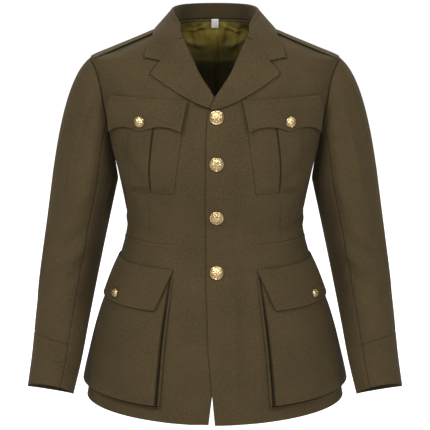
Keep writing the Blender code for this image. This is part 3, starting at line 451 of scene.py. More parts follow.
def cloth_wall(name, outer, inner, rims, shade=0.0):
    """A closed wall. Its rim is half a turn from the outer edge to the inner one, and stands out by one
    number at the first row, the last column, the last row and the first column. The rim is shaded,
    since a turned edge holds the dark of the gap beside it."""
    rows, columns = outer.shape[:2]
    numbers = np.arange(rows * columns).reshape(rows, columns)
    rim = [edge_ring(numbers)]
    points = [outer.reshape(-1, 3), inner.reshape(-1, 3)]
    outer_edge, inner_edge = edge_ring(outer), edge_ring(inner)
    way = outward(outer, rims)
    total = 2 * rows * columns
    for turn in RIM_TURNS:
        middle = between(outer_edge, inner_edge, (1 - math.cos(turn)) / 2)
        points.append(middle + way * math.sin(turn))
        rim.append(total + np.arange(len(way)))
        total += len(way)
    rim.append(edge_ring(numbers) + rows * columns)
    faces = [quads(numbers[:-1], numbers[1:]), quads(numbers[1:], numbers[:-1]) + rows * columns]
    for first, second in zip(rim[:-1], rim[1:]):
        faces.append(quads(np.append(second, second[0]), np.append(first, first[0])))
    uv = np.stack([arc(outer, 1), arc(outer, 0)], -1)
    flat_uv = uv.reshape(-1, 2)
    uvs = np.concatenate([flat_uv, flat_uv] + [edge_ring(uv)] * len(RIM_TURNS))
    shade = np.broadcast_to(shade, (rows, columns)).ravel()
    shades = np.concatenate([shade, shade, np.full(len(way) * len(RIM_TURNS), RIM_SHADE)])
    return build_mesh(name, np.concatenate(points), np.concatenate(faces), uvs, shades)


def grid_normals(grid):
    """The direction square to a grid at each point, as the cross product of its two gradients."""
    return unit(np.cross(np.gradient(grid, axis=1), np.gradient(grid, axis=0)))


def two_faces(middle, side=1):
    """The outer and inner faces of a sheet given by its middle, half the cloth's thickness to each way."""
    half = grid_normals(middle) * CLOTH / 2 * side
    return middle + half, middle - half


def show(piece, node, material):
    """Gives the piece its material and its place in the frame, and hides the frame's node that it replaces.
    """
    piece.data.materials.append(material)
    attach(piece, "root")
    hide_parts(node)


print("rim of a wall: half a turn through", len(RIM_TURNS), "rings of points")

# %% [markdown]
# The shell cloth is a fine twill in khaki wool. Three things make it look like wool: threads that run
# slantwise in steps, small flecks where lighter and darker fibres were spun together, and a nap that
# catches light at the edges. The first two are one node group, so that lining and label can use it
# with other values. The nap is the sheen of each material. Real threads as geometry would be millions
# of faces for something that shows only as a grain.

# %% Helpers for node trees
def node(tree, kind, at, **values):
    """A new node at this place in the node editor."""
    made = tree.nodes.new(kind)
    made.location = at
    for name, value in values.items():
        setattr(made, name, value)
    return made


def math_node(tree, operation, first, second, at):
    """A Math node whose two inputs are sockets or numbers."""
    made = node(tree, "ShaderNodeMath", at, operation=operation)
    for socket, value in zip(made.inputs, (first, second)):
        if isinstance(value, (int, float)):
            socket.default_value = value
        else:
            tree.links.new(value, socket)
    return made.outputs[0]


def noise(tree, where, scale, detail, at):
    """A soft random value that changes from place to place."""
    made = node(tree, "ShaderNodeTexNoise", at)
    tree.links.new(where, made.inputs["Vector"])
    made.inputs["Scale"].default_value = scale
    made.inputs["Detail"].default_value = detail
    return made.outputs["Fac"]


# %% Woven surface, a node group for every textile
# Scales of the noises, on the cloth's own metres for the flecks and on the jacket for the clouds
FLECK_SCALE, SOFT_FLECK_SCALE, CLOUD_SCALE = 900, 240, 18
# One slant line goes with this many threads
THREADS_PER_SLANT = 4
MIDDLE_GREY = 0.5


def weave_group():
    """Height and colour of a woven sheet. The threads are two sine waves, across and along; the slant
    is a sine of their sum. Flecks and broad cloudiness are noise, as twice its distance from grey. The
    mesh's shade takes its share off the colour."""
    tree = bpy.data.node_groups.new("Woven sheet", "ShaderNodeTree")
    for name, kind, value in (
        ("Colour", "NodeSocketColor", (0.1, 0.08, 0.05, 1)),
        ("Fleck", "NodeSocketFloat", 0.10),
        ("Cloud", "NodeSocketFloat", 0.06),
        ("Threads per metre", "NodeSocketFloat", 1400.0),
        ("Slant", "NodeSocketFloat", 1.0),
    ):
        socket = tree.interface.new_socket(name=name, in_out="INPUT", socket_type=kind)
        socket.default_value = value
    for name, kind in (("Colour", "NodeSocketColor"), ("Height", "NodeSocketFloat")):
        tree.interface.new_socket(name=name, in_out="OUTPUT", socket_type=kind)
    inputs = node(tree, "NodeGroupInput", (-900, 0)).outputs
    outputs = node(tree, "NodeGroupOutput", (700, 0)).inputs
    metres = node(tree, "ShaderNodeUVMap", (-900, -300), uv_map="cloth").outputs["UV"]
    parts = node(tree, "ShaderNodeSeparateXYZ", (-700, -300))
    tree.links.new(metres, parts.inputs[0])
    turns = math_node(tree, "MULTIPLY", inputs["Threads per metre"], 2 * math.pi, (-700, -500))
    across = math_node(tree, "MULTIPLY", parts.outputs["X"], turns, (-500, -250))
    along = math_node(tree, "MULTIPLY", parts.outputs["Y"], turns, (-500, -400))
    weft = math_node(tree, "SINE", across, 0.0, (-350, -250))
    warp = math_node(tree, "SINE", along, 0.0, (-350, -400))
    threads = math_node(tree, "MULTIPLY", weft, warp, (-200, -300))
    slanted = math_node(tree, "ADD", across, along, (-350, -550))
    slanted = math_node(tree, "MULTIPLY", slanted, 1 / THREADS_PER_SLANT, (-250, -550))
    slanted = math_node(tree, "SINE", slanted, 0.0, (-200, -550))
    slanted = math_node(tree, "MULTIPLY", slanted, inputs["Slant"], (-50, -500))
    height = math_node(tree, "ADD", threads, slanted, (150, -350))
    tree.links.new(height, outputs["Height"])
    place = node(tree, "ShaderNodeTexCoord", (-900, 300)).outputs["Object"]
    fleck = noise(tree, metres, FLECK_SCALE, 2, (-600, 300))
    fleck = math_node(tree, "SUBTRACT", fleck, MIDDLE_GREY, (-400, 300))
    soft_fleck = noise(tree, metres, SOFT_FLECK_SCALE, 3, (-600, 500))
    soft_fleck = math_node(tree, "SUBTRACT", soft_fleck, MIDDLE_GREY, (-400, 500))
    fleck = math_node(tree, "ADD", fleck, soft_fleck, (-300, 400))
    fleck = math_node(tree, "MULTIPLY", fleck, inputs["Fleck"], (-200, 300))
    cloud = noise(tree, place, CLOUD_SCALE, 3, (-600, 100))
    cloud = math_node(tree, "SUBTRACT", cloud, MIDDLE_GREY, (-400, 100))
    cloud = math_node(tree, "MULTIPLY", cloud, inputs["Cloud"], (-200, 100))
    change = math_node(tree, "ADD", fleck, cloud, (0, 200))
    change = math_node(tree, "MULTIPLY", change, 2.0, (150, 200))
    share = math_node(tree, "ADD", change, 1.0, (300, 200))
    shade = node(tree, "ShaderNodeAttribute", (-200, 700), attribute_name="shade")
    light = math_node(tree, "SUBTRACT", 1.0, shade.outputs["Fac"], (0, 700))
    share = math_node(tree, "MULTIPLY", share, light, (400, 300))
    colour = node(tree, "ShaderNodeVectorMath", (450, 100), operation="SCALE")
    tree.links.new(inputs["Colour"], colour.inputs[0])
    tree.links.new(share, colour.inputs["Scale"])
    tree.links.new(colour.outputs[0], outputs["Colour"])
    return tree


WEAVE = weave_group()
print("nodes in the weave:", len(WEAVE.nodes))

# %% Wool, satin and tape
RELIEF_STRENGTH = 0.5


def textile(name, colour, weave, roughness, sheen, bump_height, specular=0.3):
    """A woven material: the group's colour and height, with sheen for its nap. The sheen is given as its
    weight, roughness and tint."""
    material = bpy.data.materials.new(name)
    material.use_nodes = True
    tree = material.node_tree
    shader = tree.nodes["Principled BSDF"]
    group = node(tree, "ShaderNodeGroup", (-600, 100), node_tree=WEAVE)
    group.inputs["Colour"].default_value = (*colour, 1)
    for key, value in weave.items():
        group.inputs[key].default_value = value
    tree.links.new(group.outputs["Colour"], shader.inputs["Base Color"])
    relief = node(tree, "ShaderNodeBump", (-300, -200))
    relief.inputs["Strength"].default_value = RELIEF_STRENGTH
    relief.inputs["Distance"].default_value = bump_height
    tree.links.new(group.outputs["Height"], relief.inputs["Height"])
    tree.links.new(relief.outputs["Normal"], shader.inputs["Normal"])
    shader.inputs["Roughness"].default_value = roughness
    shader.inputs["Specular IOR Level"].default_value = specular
    shader.inputs["Sheen Weight"].default_value = sheen[0]
    shader.inputs["Sheen Roughness"].default_value = sheen[1]
    shader.inputs["Sheen Tint"].default_value = (*sheen[2], 1)
    return material


WOOL = textile(
    "khaki wool", (0.092, 0.066, 0.030), {"Fleck": 0.46, "Cloud": 0.22}, roughness=0.85,
    sheen=(0.12, 0.40, (0.55, 0.45, 0.28)), bump_height=0.00012, specular=0.2)
SATIN = textile(
    "olive satin", (0.250, 0.190, 0.038),
    {"Fleck": 0.08, "Cloud": 0.9, "Threads per metre": 2600.0, "Slant": 0.3}, roughness=0.50,
    sheen=(0.05, 0.3, (0.8, 0.7, 0.30)), bump_height=0.00003, specular=0.22)
TAPE = textile(
    "white woven tape", (0.92, 0.91, 0.88), {"Fleck": 0.08, "Cloud": 0.03}, roughness=0.7,
    sheen=(0.2, 0.4, (1.0, 1.0, 1.0)), bump_height=0.0001)
print("textiles:", WOOL.name, SATIN.name, TAPE.name)

# %% [markdown]
# The two fronts are the largest pieces. Each goes from its own edge round to the side seam, and up
# round the armhole to the shoulder seam. The wearer's left front laps over the right one, so it lies
# a little further out near the centre. Cloth dips where it is sewn to its neighbour.

# %% Rows of the body panels, and their seams
WAIST_SEAM = -0.405
SEAM_DIP = 0.0009
SEAM_DIP_WIDTH = 0.0022
WAIST_ROWS = 150
ARMHOLE_ROWS = 44
SHOULDER_ROWS = 26
PANEL_COLUMNS = 64
FRONT_COLUMNS = 118


def armhole_turn(height, widest):
    """How far the armhole's edge stands from the side: a flattened circle in angle and height."""
    aside = np.clip(np.abs((height - ARMHOLE_MIDDLE) / ARMHOLE_REACH), 0, 1)
    return widest * (1 - aside**2) ** (ARMHOLE_FULLNESS / 2)


def armhole_heights(count):
    """Heights beside the armhole, by a half cosine: closest together at its two ends."""
    return ARMHOLE_MIDDLE - ARMHOLE_REACH * np.cos(np.linspace(0, math.pi, count))


def panel_heights():
    """Heights from the hem to the neck, closest together at the hem, the waist seam and the armhole."""
    below = spread(HEM, ARMHOLE_BOTTOM, WAIST_ROWS, (HEM, WAIST_SEAM), 0.005)[:-1]
    above = np.linspace(SHOULDER_POINT, -SEAM_GAP, SHOULDER_ROWS)[1:]
    return np.concatenate([below, armhole_heights(ARMHOLE_ROWS), above])


def columns_between(low, high, count=PANEL_COLUMNS):
    """Columns from each row's low value to its high one, closer together at both edges."""
    return low[:, None] + (high - low)[:, None] * spread(0, 1, count, (0, 1), 0.03)


def seam_dip(angles, rows, *edges):
    """How far the cloth sinks towards these edges of a panel, as round bumps of distance to them."""
    radius = ring_radius(angles, rows)
    return sum(SEAM_DIP * bump((angles - edge[:, None]) * radius, SEAM_DIP_WIDTH) for edge in edges)


heights = panel_heights()
print("rows of a panel:", len(heights), "from", heights[0], "to", heights[-1])

# %% The edges of the two fronts
OVER_EDGE = np.array((
    # height, across
    (HEM, 0.0003), (-0.700, -0.0036), (-0.680, -0.0052), (-0.590, -0.0125), (-0.523, -0.0144),
    (-0.486, -0.0160), (-0.230, -0.0158), (-0.164, -0.0132), (-0.152, -0.0118),
))
UNDER_EDGE = np.array((
    # height, across, on the under front's own side
    (HEM, 0.0130), (-0.700, 0.0078), (-0.680, 0.0052), (-0.620, -0.0060), (-0.550, -0.0150),
    (-0.500, -0.0180), (-0.200, -0.0180), (-0.165, -0.0150), (-0.150, 0.0010), (-0.140, 0.0085),
))
ROLL_LINE = np.array((
    # angle in degrees, height
    (-5.6, -0.1515), (-3.6, -0.1412), (-0.9, -0.1281), (7.1, -0.1049), (15.6, -0.0822),
    (25.2, -0.0520), (33.0, -0.0325), (38.9, -0.0200),
))
NECK_SEAM = np.array((
    # angle in degrees, height
    (41.5, -0.0240), (45.5, -0.0205), (50.5, -0.0165), (55.5, -0.0128), (62.0, -0.0092),
    (69.0, -0.0058), (77.0, -0.0028), (84.0, -0.0010), (89.8, -0.0004),
))
PANEL_INSET = 0.0050
EDGE_BLEND = 0.012


def front_edge(heights, over):
    """The front's own edge: straight down the closing, along the roll line, then the neck seam."""
    table = OVER_EDGE if over else UNDER_EDGE
    closing = angle_across(smooth_value(heights, table[:, 0], table[:, 1]), heights)
    roll = np.radians(np.interp(heights, ROLL_LINE[:, 1], ROLL_LINE[:, 0]))
    roll += PANEL_INSET / ring_radius(roll, heights)
    neck = np.radians(np.interp(heights, NECK_SEAM[:, 1], NECK_SEAM[:, 0]))
    share = ease(heights, table[-1, 0], table[-1, 0] + EDGE_BLEND)
    edge = between(closing, roll, share)
    return np.where(heights > NECK_SEAM[0, 1], np.maximum(neck, edge), edge)


print("closing, degrees from the centre at the hem:", np.degrees(front_edge(heights, True)[0]).round(3))

# %% [markdown]
# The dart below each chest pocket is a fold sewn shut, which shows as a thin groove darkened with
# painted shade. The turned-back collar and lapels press on the cloth below them, and a soft groove with
# a dark line of painted shadow follows their edges there. Each groove is a line of places and a round
# bump across it.

# %% The dart, and the grooves beside the collar and the lapels
DART = (55.0, -0.318, 59.0, -0.400)
DART_DEPTH = 0.0016
DART_WIDTH = 0.0016
# Painted shade in the dart's groove
DART_DARK = 0.22
# Heights over which the dart fades, below its low end, above it, and below its high end
DART_FADES = (0.002, 0.004, 0.02)
BESIDE_COLLAR = (
    (66.6, -0.0240), (63.5, -0.0304), (61.5, -0.0370), (59.8, -0.0438), (58.6, -0.0510), (57.7, -0.0580),
)
BESIDE_LAPEL = ((48.4, -0.0640), (50.8, -0.0852))
PRESSED_DEPTH = 0.0012
PRESSED_WIDTH = 0.0030
# Painted shadow in the grooves beside the collar's and the lapels' edges
PRESSED_DARK = 0.55
PRESSED_FADE = 0.003


def groove_along(angles, rows, line, width):
    """1 along a straight line on the body and 0 away from it."""
    start_angle, start_height, end_angle, end_height = line
    share = np.clip((rows - start_height) / (end_height - start_height), 0, 1)
    aside = (np.degrees(angles) - between(start_angle, end_angle, share)) * math.radians(FLAT_RADIUS)
    below, above, down = DART_FADES
    inside = ease(rows, end_height - below, end_height + above)
    return bump(aside, width) * inside * (1 - ease(rows, start_height - down, start_height))


def groove_beside(angles, rows, line, width):
    """1 along a bent line of places on the body, listed downwards, and 0 away from it."""
    line = np.array(line)[::-1]
    aside = (np.degrees(angles) - np.interp(rows, line[:, 1], line[:, 0])) * math.radians(FLAT_RADIUS)
    low, high = line[0, 1], line[-1, 1]
    inside = ease(rows, low - PRESSED_FADE, low) * (1 - ease(rows, high, high + PRESSED_FADE))
    return bump(aside, width) * inside


print("dart, m long:", round(DART[1] - DART[3], 3))

# %% The two fronts
OVER_LIFT = 0.0008
UNDER_DROP = 0.0028
LAP_FADE = (0.024, 0.050)
LAP_UNDER_LAPEL = (-0.137, -0.118)
WAIST_SEAM_FADE = np.radians((36, 44))
WAIST_SEAM_DEPTH = 0.0016
WAIST_SEAM_WIDTH = 0.0014
SEAM_ALLOWANCE_RISE = 0.0006
SEAM_ALLOWANCE_DOWN = 0.004
# How far a rim stands out at the hem, the side seam, the shoulder seam and the front edge
FRONT_RIMS = (0.0008, 0.0001, 0.0001, 0.0007)


def waist_seam(rows):
    """The seam's depth at each height, as a round bump."""
    return WAIST_SEAM_DEPTH * bump(rows - WAIST_SEAM, WAIST_SEAM_WIDTH)


def front_panel(word, side):
    """The front: the body's own surface, moved out by its lap and the seam allowance under the waist
    seam, and in by the waist seam, the dart, the pressed grooves and the side seam."""
    over = side > 0
    low = front_edge(heights, over)
    high = math.pi / 2 - armhole_turn(heights, ARMHOLE_TURN_FRONT)
    angles = columns_between(low, high, FRONT_COLUMNS)
    rows = np.repeat(heights[:, None], angles.shape[1], axis=1)
    across = body_ring(angles, rows)[..., 0]
    lap = (1 - ease(across, *LAP_FADE)) * (1 - ease(rows, *LAP_UNDER_LAPEL))
    out = lap * (OVER_LIFT if over else -UNDER_DROP)
    allowance = SEAM_ALLOWANCE_RISE * bump(rows - WAIST_SEAM + SEAM_ALLOWANCE_DOWN, SEAM_ALLOWANCE_DOWN)
    out = out + (allowance - waist_seam(rows)) * ease(angles, *WAIST_SEAM_FADE)
    dart = groove_along(angles, rows, DART, DART_WIDTH)
    beside = sum(groove_beside(angles, rows, line, PRESSED_WIDTH) for line in (BESIDE_COLLAR, BESIDE_LAPEL))
    out = out - DART_DEPTH * dart - PRESSED_DEPTH * beside - seam_dip(angles, rows, high)
    # Painted shade beside the arm and in the dart, and painted shadow along the collar's and lapels' edges
    dark = side_dark(angles, rows) + DART_DARK * dart + PRESSED_DARK * beside
    outer, inner = worn(angles, rows, out, side), worn(angles, rows, out - CLOTH, side)
    piece = cloth_wall(f"cloth_front_{word}", outer, inner, FRONT_RIMS, dark)
    show(piece, f"front_{word}", WOOL)


for word, side in SIDES:
    front_panel(word, side)

# %% [markdown]
# The back isn't in the picture. Two panels with a seam down the centre are the plainest cut that goes
# with such a front, and the waist seam runs on round them.

# %% The two backs, sewn together down the centre
# How far a rim stands out at the hem, the centre seam, the shoulder seam and the side seam
BACK_RIMS = (0.0008, 0.0001, 0.0001, 0.0001)


def back_panel(word, side):
    """The back: from the side seam round to the seam down the centre back."""
    low = math.pi / 2 + armhole_turn(heights, ARMHOLE_TURN_BACK) + SEAM_GAP / at_height(HALF_WIDTHS, heights)
    high = math.pi - SEAM_GAP / 4 / at_height(BACK_DEPTHS, heights)
    angles = columns_between(low, high)
    rows = np.repeat(heights[:, None], angles.shape[1], axis=1)
    out = -waist_seam(rows) - seam_dip(angles, rows, low, high)
    outer, inner = worn(angles, rows, out, side), worn(angles, rows, out - CLOTH, side)
    piece = cloth_wall(f"cloth_back_{word}", outer, inner, BACK_RIMS, side_dark(angles, rows))
    show(piece, f"back_{word}", WOOL)


for word, side in SIDES:
    back_panel(word, side)

# %% [markdown]
# The collar is one sheet that stands up from the neck seam, rolls over and falls as a leaf. The lapel
# is the front's facing, turned out along the roll line. Both are a profile across the sheet, carried
# along a row of stations: a short flat part inside, half a turn for the roll, and the leaf outside. A
# cloth simulation could fold them over, but stations put the notch exactly where it is seen.

# %% Stations of the collar
COLLAR_STATIONS = np.array((
    # seam angle, seam height, roll angle, roll height, edge angle, edge height
    (40.6, -0.0238, 37.5, -0.0229, 57.7, -0.0580),
    (44.5, -0.0200, 41.5, -0.0175, 58.5, -0.0510),
    (49.5, -0.0160, 46.0, -0.0125, 59.8, -0.0438),
    (55.0, -0.0122, 49.7, -0.0062, 61.5, -0.0370),
    (62.0, -0.0085, 53.6, 0.0008, 63.5, -0.0304),
    (69.0, -0.0050, 62.0, 0.0080, 67.6, -0.0235),
    (77.0, -0.0020, 71.0, 0.0142, 73.5, -0.0185),
    (84.0, -0.0002, 79.0, 0.0200, 81.0, -0.0162),
    (90.0, 0.0004, 90.0, 0.0245, 90.0, -0.0158),
    (104.0, 0.0004, 104.0, 0.0266, 104.0, -0.0178),
    (120.0, 0.0004, 120.0, 0.0280, 120.0, -0.0210),
    (138.0, 0.0004, 138.0, 0.0292, 138.0, -0.0230),
    (158.0, 0.0004, 158.0, 0.0298, 158.0, -0.0235),
    (180.0, 0.0004, 180.0, 0.0300, 180.0, -0.0230),
))
GORGE = np.array(((43.8, -0.0285), (45.3, -0.0460), (47.9, -0.0628)))
COLLAR_CORNER = (57.7, -0.0580)
print("stations of the collar's left half:", len(COLLAR_STATIONS))

# %% Stations of the lapels
TAIL_IN = -0.0032
LAPEL_STATIONS = np.array((
    # roll angle, roll height, edge angle, edge height, length turned inside, depth inside
    (37.38, -0.0231, 47.9, -0.0628, 0.012, TAIL_IN),
    (33.0, -0.0325, 50.3, -0.0858, 0.012, TAIL_IN),
    (28.7, -0.0425, 44.0, -0.0965, 0.012, TAIL_IN),
    (23.3, -0.0580, 36.6, -0.1083, 0.012, TAIL_IN),
    (17.8, -0.0752, 29.0, -0.1190, 0.012, TAIL_IN),
    (12.4, -0.0910, 21.9, -0.1274, 0.006, TAIL_IN),
    (6.2, -0.1075, 12.8, -0.1370, 0.0040, -0.0022),
    (-0.9, -0.1281, 4.0, -0.1430, 0.0032, -0.0009),
    (-4.3, -0.1435, -1.8, -0.1458, 0.0028, -0.0009),
))
UNDER_LAPEL_END = (0.9, -0.1240, 4.9, -0.1425, 0.0028, -0.0009)
print("stations of a lapel:", len(LAPEL_STATIONS))

# %% Half a turn for the roll, and the leaf
LEAF_OUT = 0.0040
LEAF_EDGE_OUT = 0.0042
LEAF_BELLY = 0.0008
LEAF_ROWS = spread(0, 1, 26, (1,), 0.05)[1:]
FOLD_TURNS = np.radians(np.linspace(0, 180, 13))
EDGE_LIGHT = 0.16
EDGE_LIGHT_FROM = (0.955, 0.980)


def stations_at(table, along):
    """Smooth values of every column of a table of stations, at places counted in stations."""
    numbers = np.arange(float(len(table)))
    return [smooth_value(along, numbers, table[:, i]) for i in range(table.shape[1])]


def surface_length(start, end):
    """Distance between places on the body, each an array of angles and of heights."""
    return np.linalg.norm(body_ring(*end) - body_ring(*start), axis=-1)


def fold_points(roll, inner_way, outer_way, inner_depth, reach):
    """Angle, height and distance out round the roll: half a circle from the inner to the outer sheet,
    and its crest at the roll."""
    parts = []
    for turn in FOLD_TURNS:
        way = inner_way if turn < math.pi / 2 else outer_way
        share = reach * (1 - math.sin(turn)) / surface_length(roll, way)
        out = (LEAF_OUT + inner_depth) / 2 - (LEAF_OUT - inner_depth) / 2 * math.cos(turn)
        parts.append((between(roll[0], way[0], share), between(roll[1], way[1], share), out + 0 * share))
    return parts


def stacked(parts):
    """Grids of angle, height and distance out from a list of columns."""
    return [np.stack([np.broadcast_to(part[i], parts[0][0].shape) for part in parts], 1) for i in range(3)]


def ruled_end(places, shares, share, regular, along):
    """The first station's own outline, faded into the regular one over one station."""
    end = [np.interp(share, shares, places[:, i]) for i in range(2)]
    weight = np.clip(1 - along, 0, 1)
    return [between(regular[i], end[i], weight) for i in range(2)]


def outline_from(roll_end, places):
    """The first station's outline in radians: the end of its roll, then these places."""
    corners = np.concatenate([[(np.degrees(roll_end[0][0]), roll_end[1][0])], places])
    corners[:, 0] = np.radians(corners[:, 0])
    return corners


def edge_lit(dark):
    """The shade of each column, less at the leaf's own edge, where the turned cloth catches light."""
    dark[-len(LEAF_ROWS):] -= EDGE_LIGHT * ease(LEAF_ROWS, *EDGE_LIGHT_FROM)
    return dark[None, :]


print("columns of a leaf:", len(LEAF_ROWS))

# %% The collar
STAND_STEPS = 8
# Painted shade on the stand, which faces into the neck, and the columns over which it fades out
STAND_DARK = 0.40
STAND_DARK_FADES = (8, 16)
COLLAR_FOLD_REACH = 0.00245
COLLAR_FOLD_SHARE = 0.6
COLLAR_LEAF_SHARES = np.array((0.0, 0.20, 0.47, 0.74, 1.0))
COLLAR_EDGE_LIFT = 0.0010
COLLAR_LIFT_OVER = (0.0, 0.8)
# Stations over which the collar is smoothed, and how many of them the mean takes in
COLLAR_SMOOTH_IN, COLLAR_SMOOTH_OUT = (0.2, 1.6), (9, 11)
COLLAR_SMOOTH = 1.1
# Heights of the roll between which the leaf comes straight, held off the shoulder
COLLAR_HELD_OFF = (-0.0225, 0.0000)
# Number of columns to the first station, and from there to the centre back
COLLAR_END_COLUMNS, COLLAR_COLUMNS = 10, 88
# How far a rim stands out at the left gorge, the leaf's edge, the right gorge and the neck seam
COLLAR_RIMS = (0.0002, 0.0009, 0.0002, 0.0001)


def collar_half(along):
    """Points across the collar at each place along it, from the seam up the stand, round and down. Away
    from the gorge they are a mean over nearby stations, weighted by a round bump, and where the roll
    stands high the leaf is a straight line from the roll to its edge."""
    values = stations_at(COLLAR_STATIONS, along)
    seam = (np.radians(values[0]), values[1])
    roll = (np.radians(values[2]), values[3])
    edge = (np.radians(values[4]), values[5])
    inner_depth = -CLOTH / 2
    reach = np.minimum(COLLAR_FOLD_REACH, COLLAR_FOLD_SHARE * surface_length(roll, seam))
    fold = fold_points(roll, seam, edge, inner_depth, reach)
    stand = [(between(seam[0], fold[0][0], share), between(seam[1], fold[0][1], share), inner_depth)
             for share in np.linspace(0, 1, STAND_STEPS + 1)[:-1]]
    start = fold[-1][:2]
    corners = outline_from(start, [*GORGE, COLLAR_CORNER])
    leaf = []
    for share in LEAF_ROWS:
        regular = (between(start[0], edge[0], share), between(start[1], edge[1], share))
        place = ruled_end(corners, COLLAR_LEAF_SHARES, share, regular, along)
        out = between(LEAF_OUT, LEAF_EDGE_OUT, share) + LEAF_BELLY * math.sin(math.pi * share)
        out = out + COLLAR_EDGE_LIFT * share**2 * ease(along, *COLLAR_LIFT_OVER)
        leaf.append((place[0], place[1], out))
    angles, rows, out = stacked(stand + fold + leaf)
    points = on_body(angles, rows, out)
    first = len(stand) + len(fold) - 1
    near = bump(along[:, None] - along[None, :], COLLAR_SMOOTH) * np.gradient(along)[None, :]
    smoothed = np.einsum("ij,jkl->ikl", near / near.sum(1, keepdims=True), points)
    share = ease(along, *COLLAR_SMOOTH_IN) * (1 - ease(along, *COLLAR_SMOOTH_OUT))
    share = share[:, None] * np.ones(points.shape[1])
    share[:, :len(stand)] *= np.linspace(0, 1, len(stand)) ** 2
    points = between(points, smoothed, share[..., None])
    held_off = ease(values[3], *COLLAR_HELD_OFF)[:, None, None]
    shares = np.concatenate([[0], LEAF_ROWS])[None, :, None]
    straight = between(points[:, first:first + 1], points[:, -1:], shares)
    points[:, first:] = between(points[:, first:], straight, held_off)
    return points


def collar():
    """The stand and the leaf in one sheet, from gorge to gorge round the back of the neck."""
    last = len(COLLAR_STATIONS) - 1
    along = np.concatenate([np.linspace(0, 1, COLLAR_END_COLUMNS), np.linspace(1, last, COLLAR_COLUMNS)[1:]])
    left = collar_half(along)
    middle = np.concatenate([left, turned_over(left[-2::-1], -1)])
    # Painted shade on the stand, and a painted highlight along the leaf's edge
    dark = STAND_DARK * (1 - ease(np.arange(middle.shape[1]), *STAND_DARK_FADES))
    piece = cloth_wall("cloth_collar", *two_faces(middle), COLLAR_RIMS, edge_lit(dark))
    show(piece, "collar", WOOL)


collar()

# %% [markdown]
# A lapel is the part of the facing that shows: sewn to the front's edge, turned at the roll line and
# pressed flat. Its end at the notch is cut straight along the gorge, so the first station has an outline
# of its own. The right lapel ends a little higher, where the left front covers it.

# %% The lapels
TAIL_STEPS = 5
LAPEL_FOLD_REACH = 0.0036
LAPEL_FOLD_SHARE = 0.8
LAPEL_LEAF_SHARES = np.array((0.0, 0.30, 0.62, 1.0))
LAPEL_BELLY_OVER = 3
GORGE_GAP = np.array((-0.06, -0.0002))
# Number of columns to the first station, and from there to the lower end
LAPEL_END_COLUMNS, LAPEL_COLUMNS = 14, 66
# How far a rim stands out at the gorge, the leaf's edge, the lower end and the hidden edge
LAPEL_RIMS = (0.0002, 0.0009, 0.0006, 0.0001)


def lapel(word, side):
    """The facing: a short turn inside, the roll, then the leaf with its point at the notch."""
    table = LAPEL_STATIONS if side > 0 else np.concatenate([LAPEL_STATIONS[:-2], [UNDER_LAPEL_END]])
    last = len(table) - 1
    along = np.concatenate([np.linspace(0, 1, LAPEL_END_COLUMNS), np.linspace(1, last, LAPEL_COLUMNS)[1:]])
    smooth = stations_at(table[1:], along - 1)
    straight = [np.interp(along, (0, 1), table[:2, i]) for i in range(table.shape[1])]
    values = [np.where(along < 1, straight[i], smooth[i]) for i in range(table.shape[1])]
    roll = (np.radians(values[0]), values[1])
    edge = (np.radians(values[2]), values[3])
    inside, depth = values[4], values[5]
    reach = np.minimum(LAPEL_FOLD_REACH, LAPEL_FOLD_SHARE * inside)
    fold = fold_points(roll, edge, edge, depth, reach)
    tail_share = inside / surface_length(roll, edge)
    tail_end = (between(roll[0], edge[0], tail_share), between(roll[1], edge[1], tail_share))
    tail = [(between(tail_end[0], fold[0][0], share), between(tail_end[1], fold[0][1], share), depth)
            for share in np.linspace(0, 1, TAIL_STEPS + 1)[:-1]]
    start = fold[-1][:2]
    corners = outline_from(start, GORGE + GORGE_GAP)
    leaf = []
    for share in LEAF_ROWS:
        regular = (between(start[0], edge[0], share), between(start[1], edge[1], share))
        place = ruled_end(corners, LAPEL_LEAF_SHARES, share, regular, along)
        belly = LEAF_BELLY * math.sin(math.pi * share) * ease(last - along, 0, LAPEL_BELLY_OVER)
        leaf.append((place[0], place[1], between(LEAF_OUT, LEAF_EDGE_OUT, share) + belly))
    angles, rows, out = stacked(tail + fold + leaf)
    middle = turned_over(on_body(angles, rows, out), side)
    dark = edge_lit(np.zeros(middle.shape[1]))
    piece = cloth_wall(f"cloth_lapel_{word}", *two_faces(middle), LAPEL_RIMS, dark)
    show(piece, f"lapel_{word}", WOOL)


for word, side in SIDES:
    lapel(word, side)

# %% [markdown]
# A sleeve is two pieces that meet in seams down the front and the back of the arm, and a cuff piece
# below a slanted seam. Its upper end is the armhole's loop. From there the cloth leaves along a
# direction of its own and bends into the tube, which is what a cubic curve does between two points
# with a given direction at each.

# %% The sleeve's rings, and the sizes of its head and cuff
SLEEVE_RINGS = np.array((
    # centre across, centre fore and aft, centre height, half width, half depth
    (0.2500, 0.004, -0.290, 0.0630, 0.0750),
    (0.2635, 0.002, -0.360, 0.0605, 0.0705),
    (0.2765, -0.004, -0.430, 0.0580, 0.0660),
    (0.2885, -0.016, -0.500, 0.0553, 0.0610),
    (0.2995, -0.033, -0.570, 0.0523, 0.0575),
    (0.3090, -0.056, -0.638, 0.0490, 0.0545),
    (0.3205, -0.083, -0.702, 0.0452, 0.0525),
))
SLEEVE_END = len(SLEEVE_RINGS)
RING_STEP = 0.0705
SLEEVE_RADIUS = 0.058
TOP_HALF = math.radians(112.5)
SEAM_TURN = math.radians(117)
SLEEVE_SEAM_GAP = 0.0008
# The direction in which the cloth leaves the armhole, and how strongly each end pulls on the curve
HEAD_ACROSS = (0.50, 0.35)
HEAD_FORE = -0.45
HEAD_DOWN = (-0.84, 0.23)
HEAD_PULL = 0.78
TUBE_PULL = 0.55
CUFF_FRONT_HEIGHT = 0.092
CUFF_BACK_HEIGHT = 0.128
HEM_RISE = 0.009
HEM_RISE_TURN = 0.1
print("rings of the arm:", SLEEVE_END)
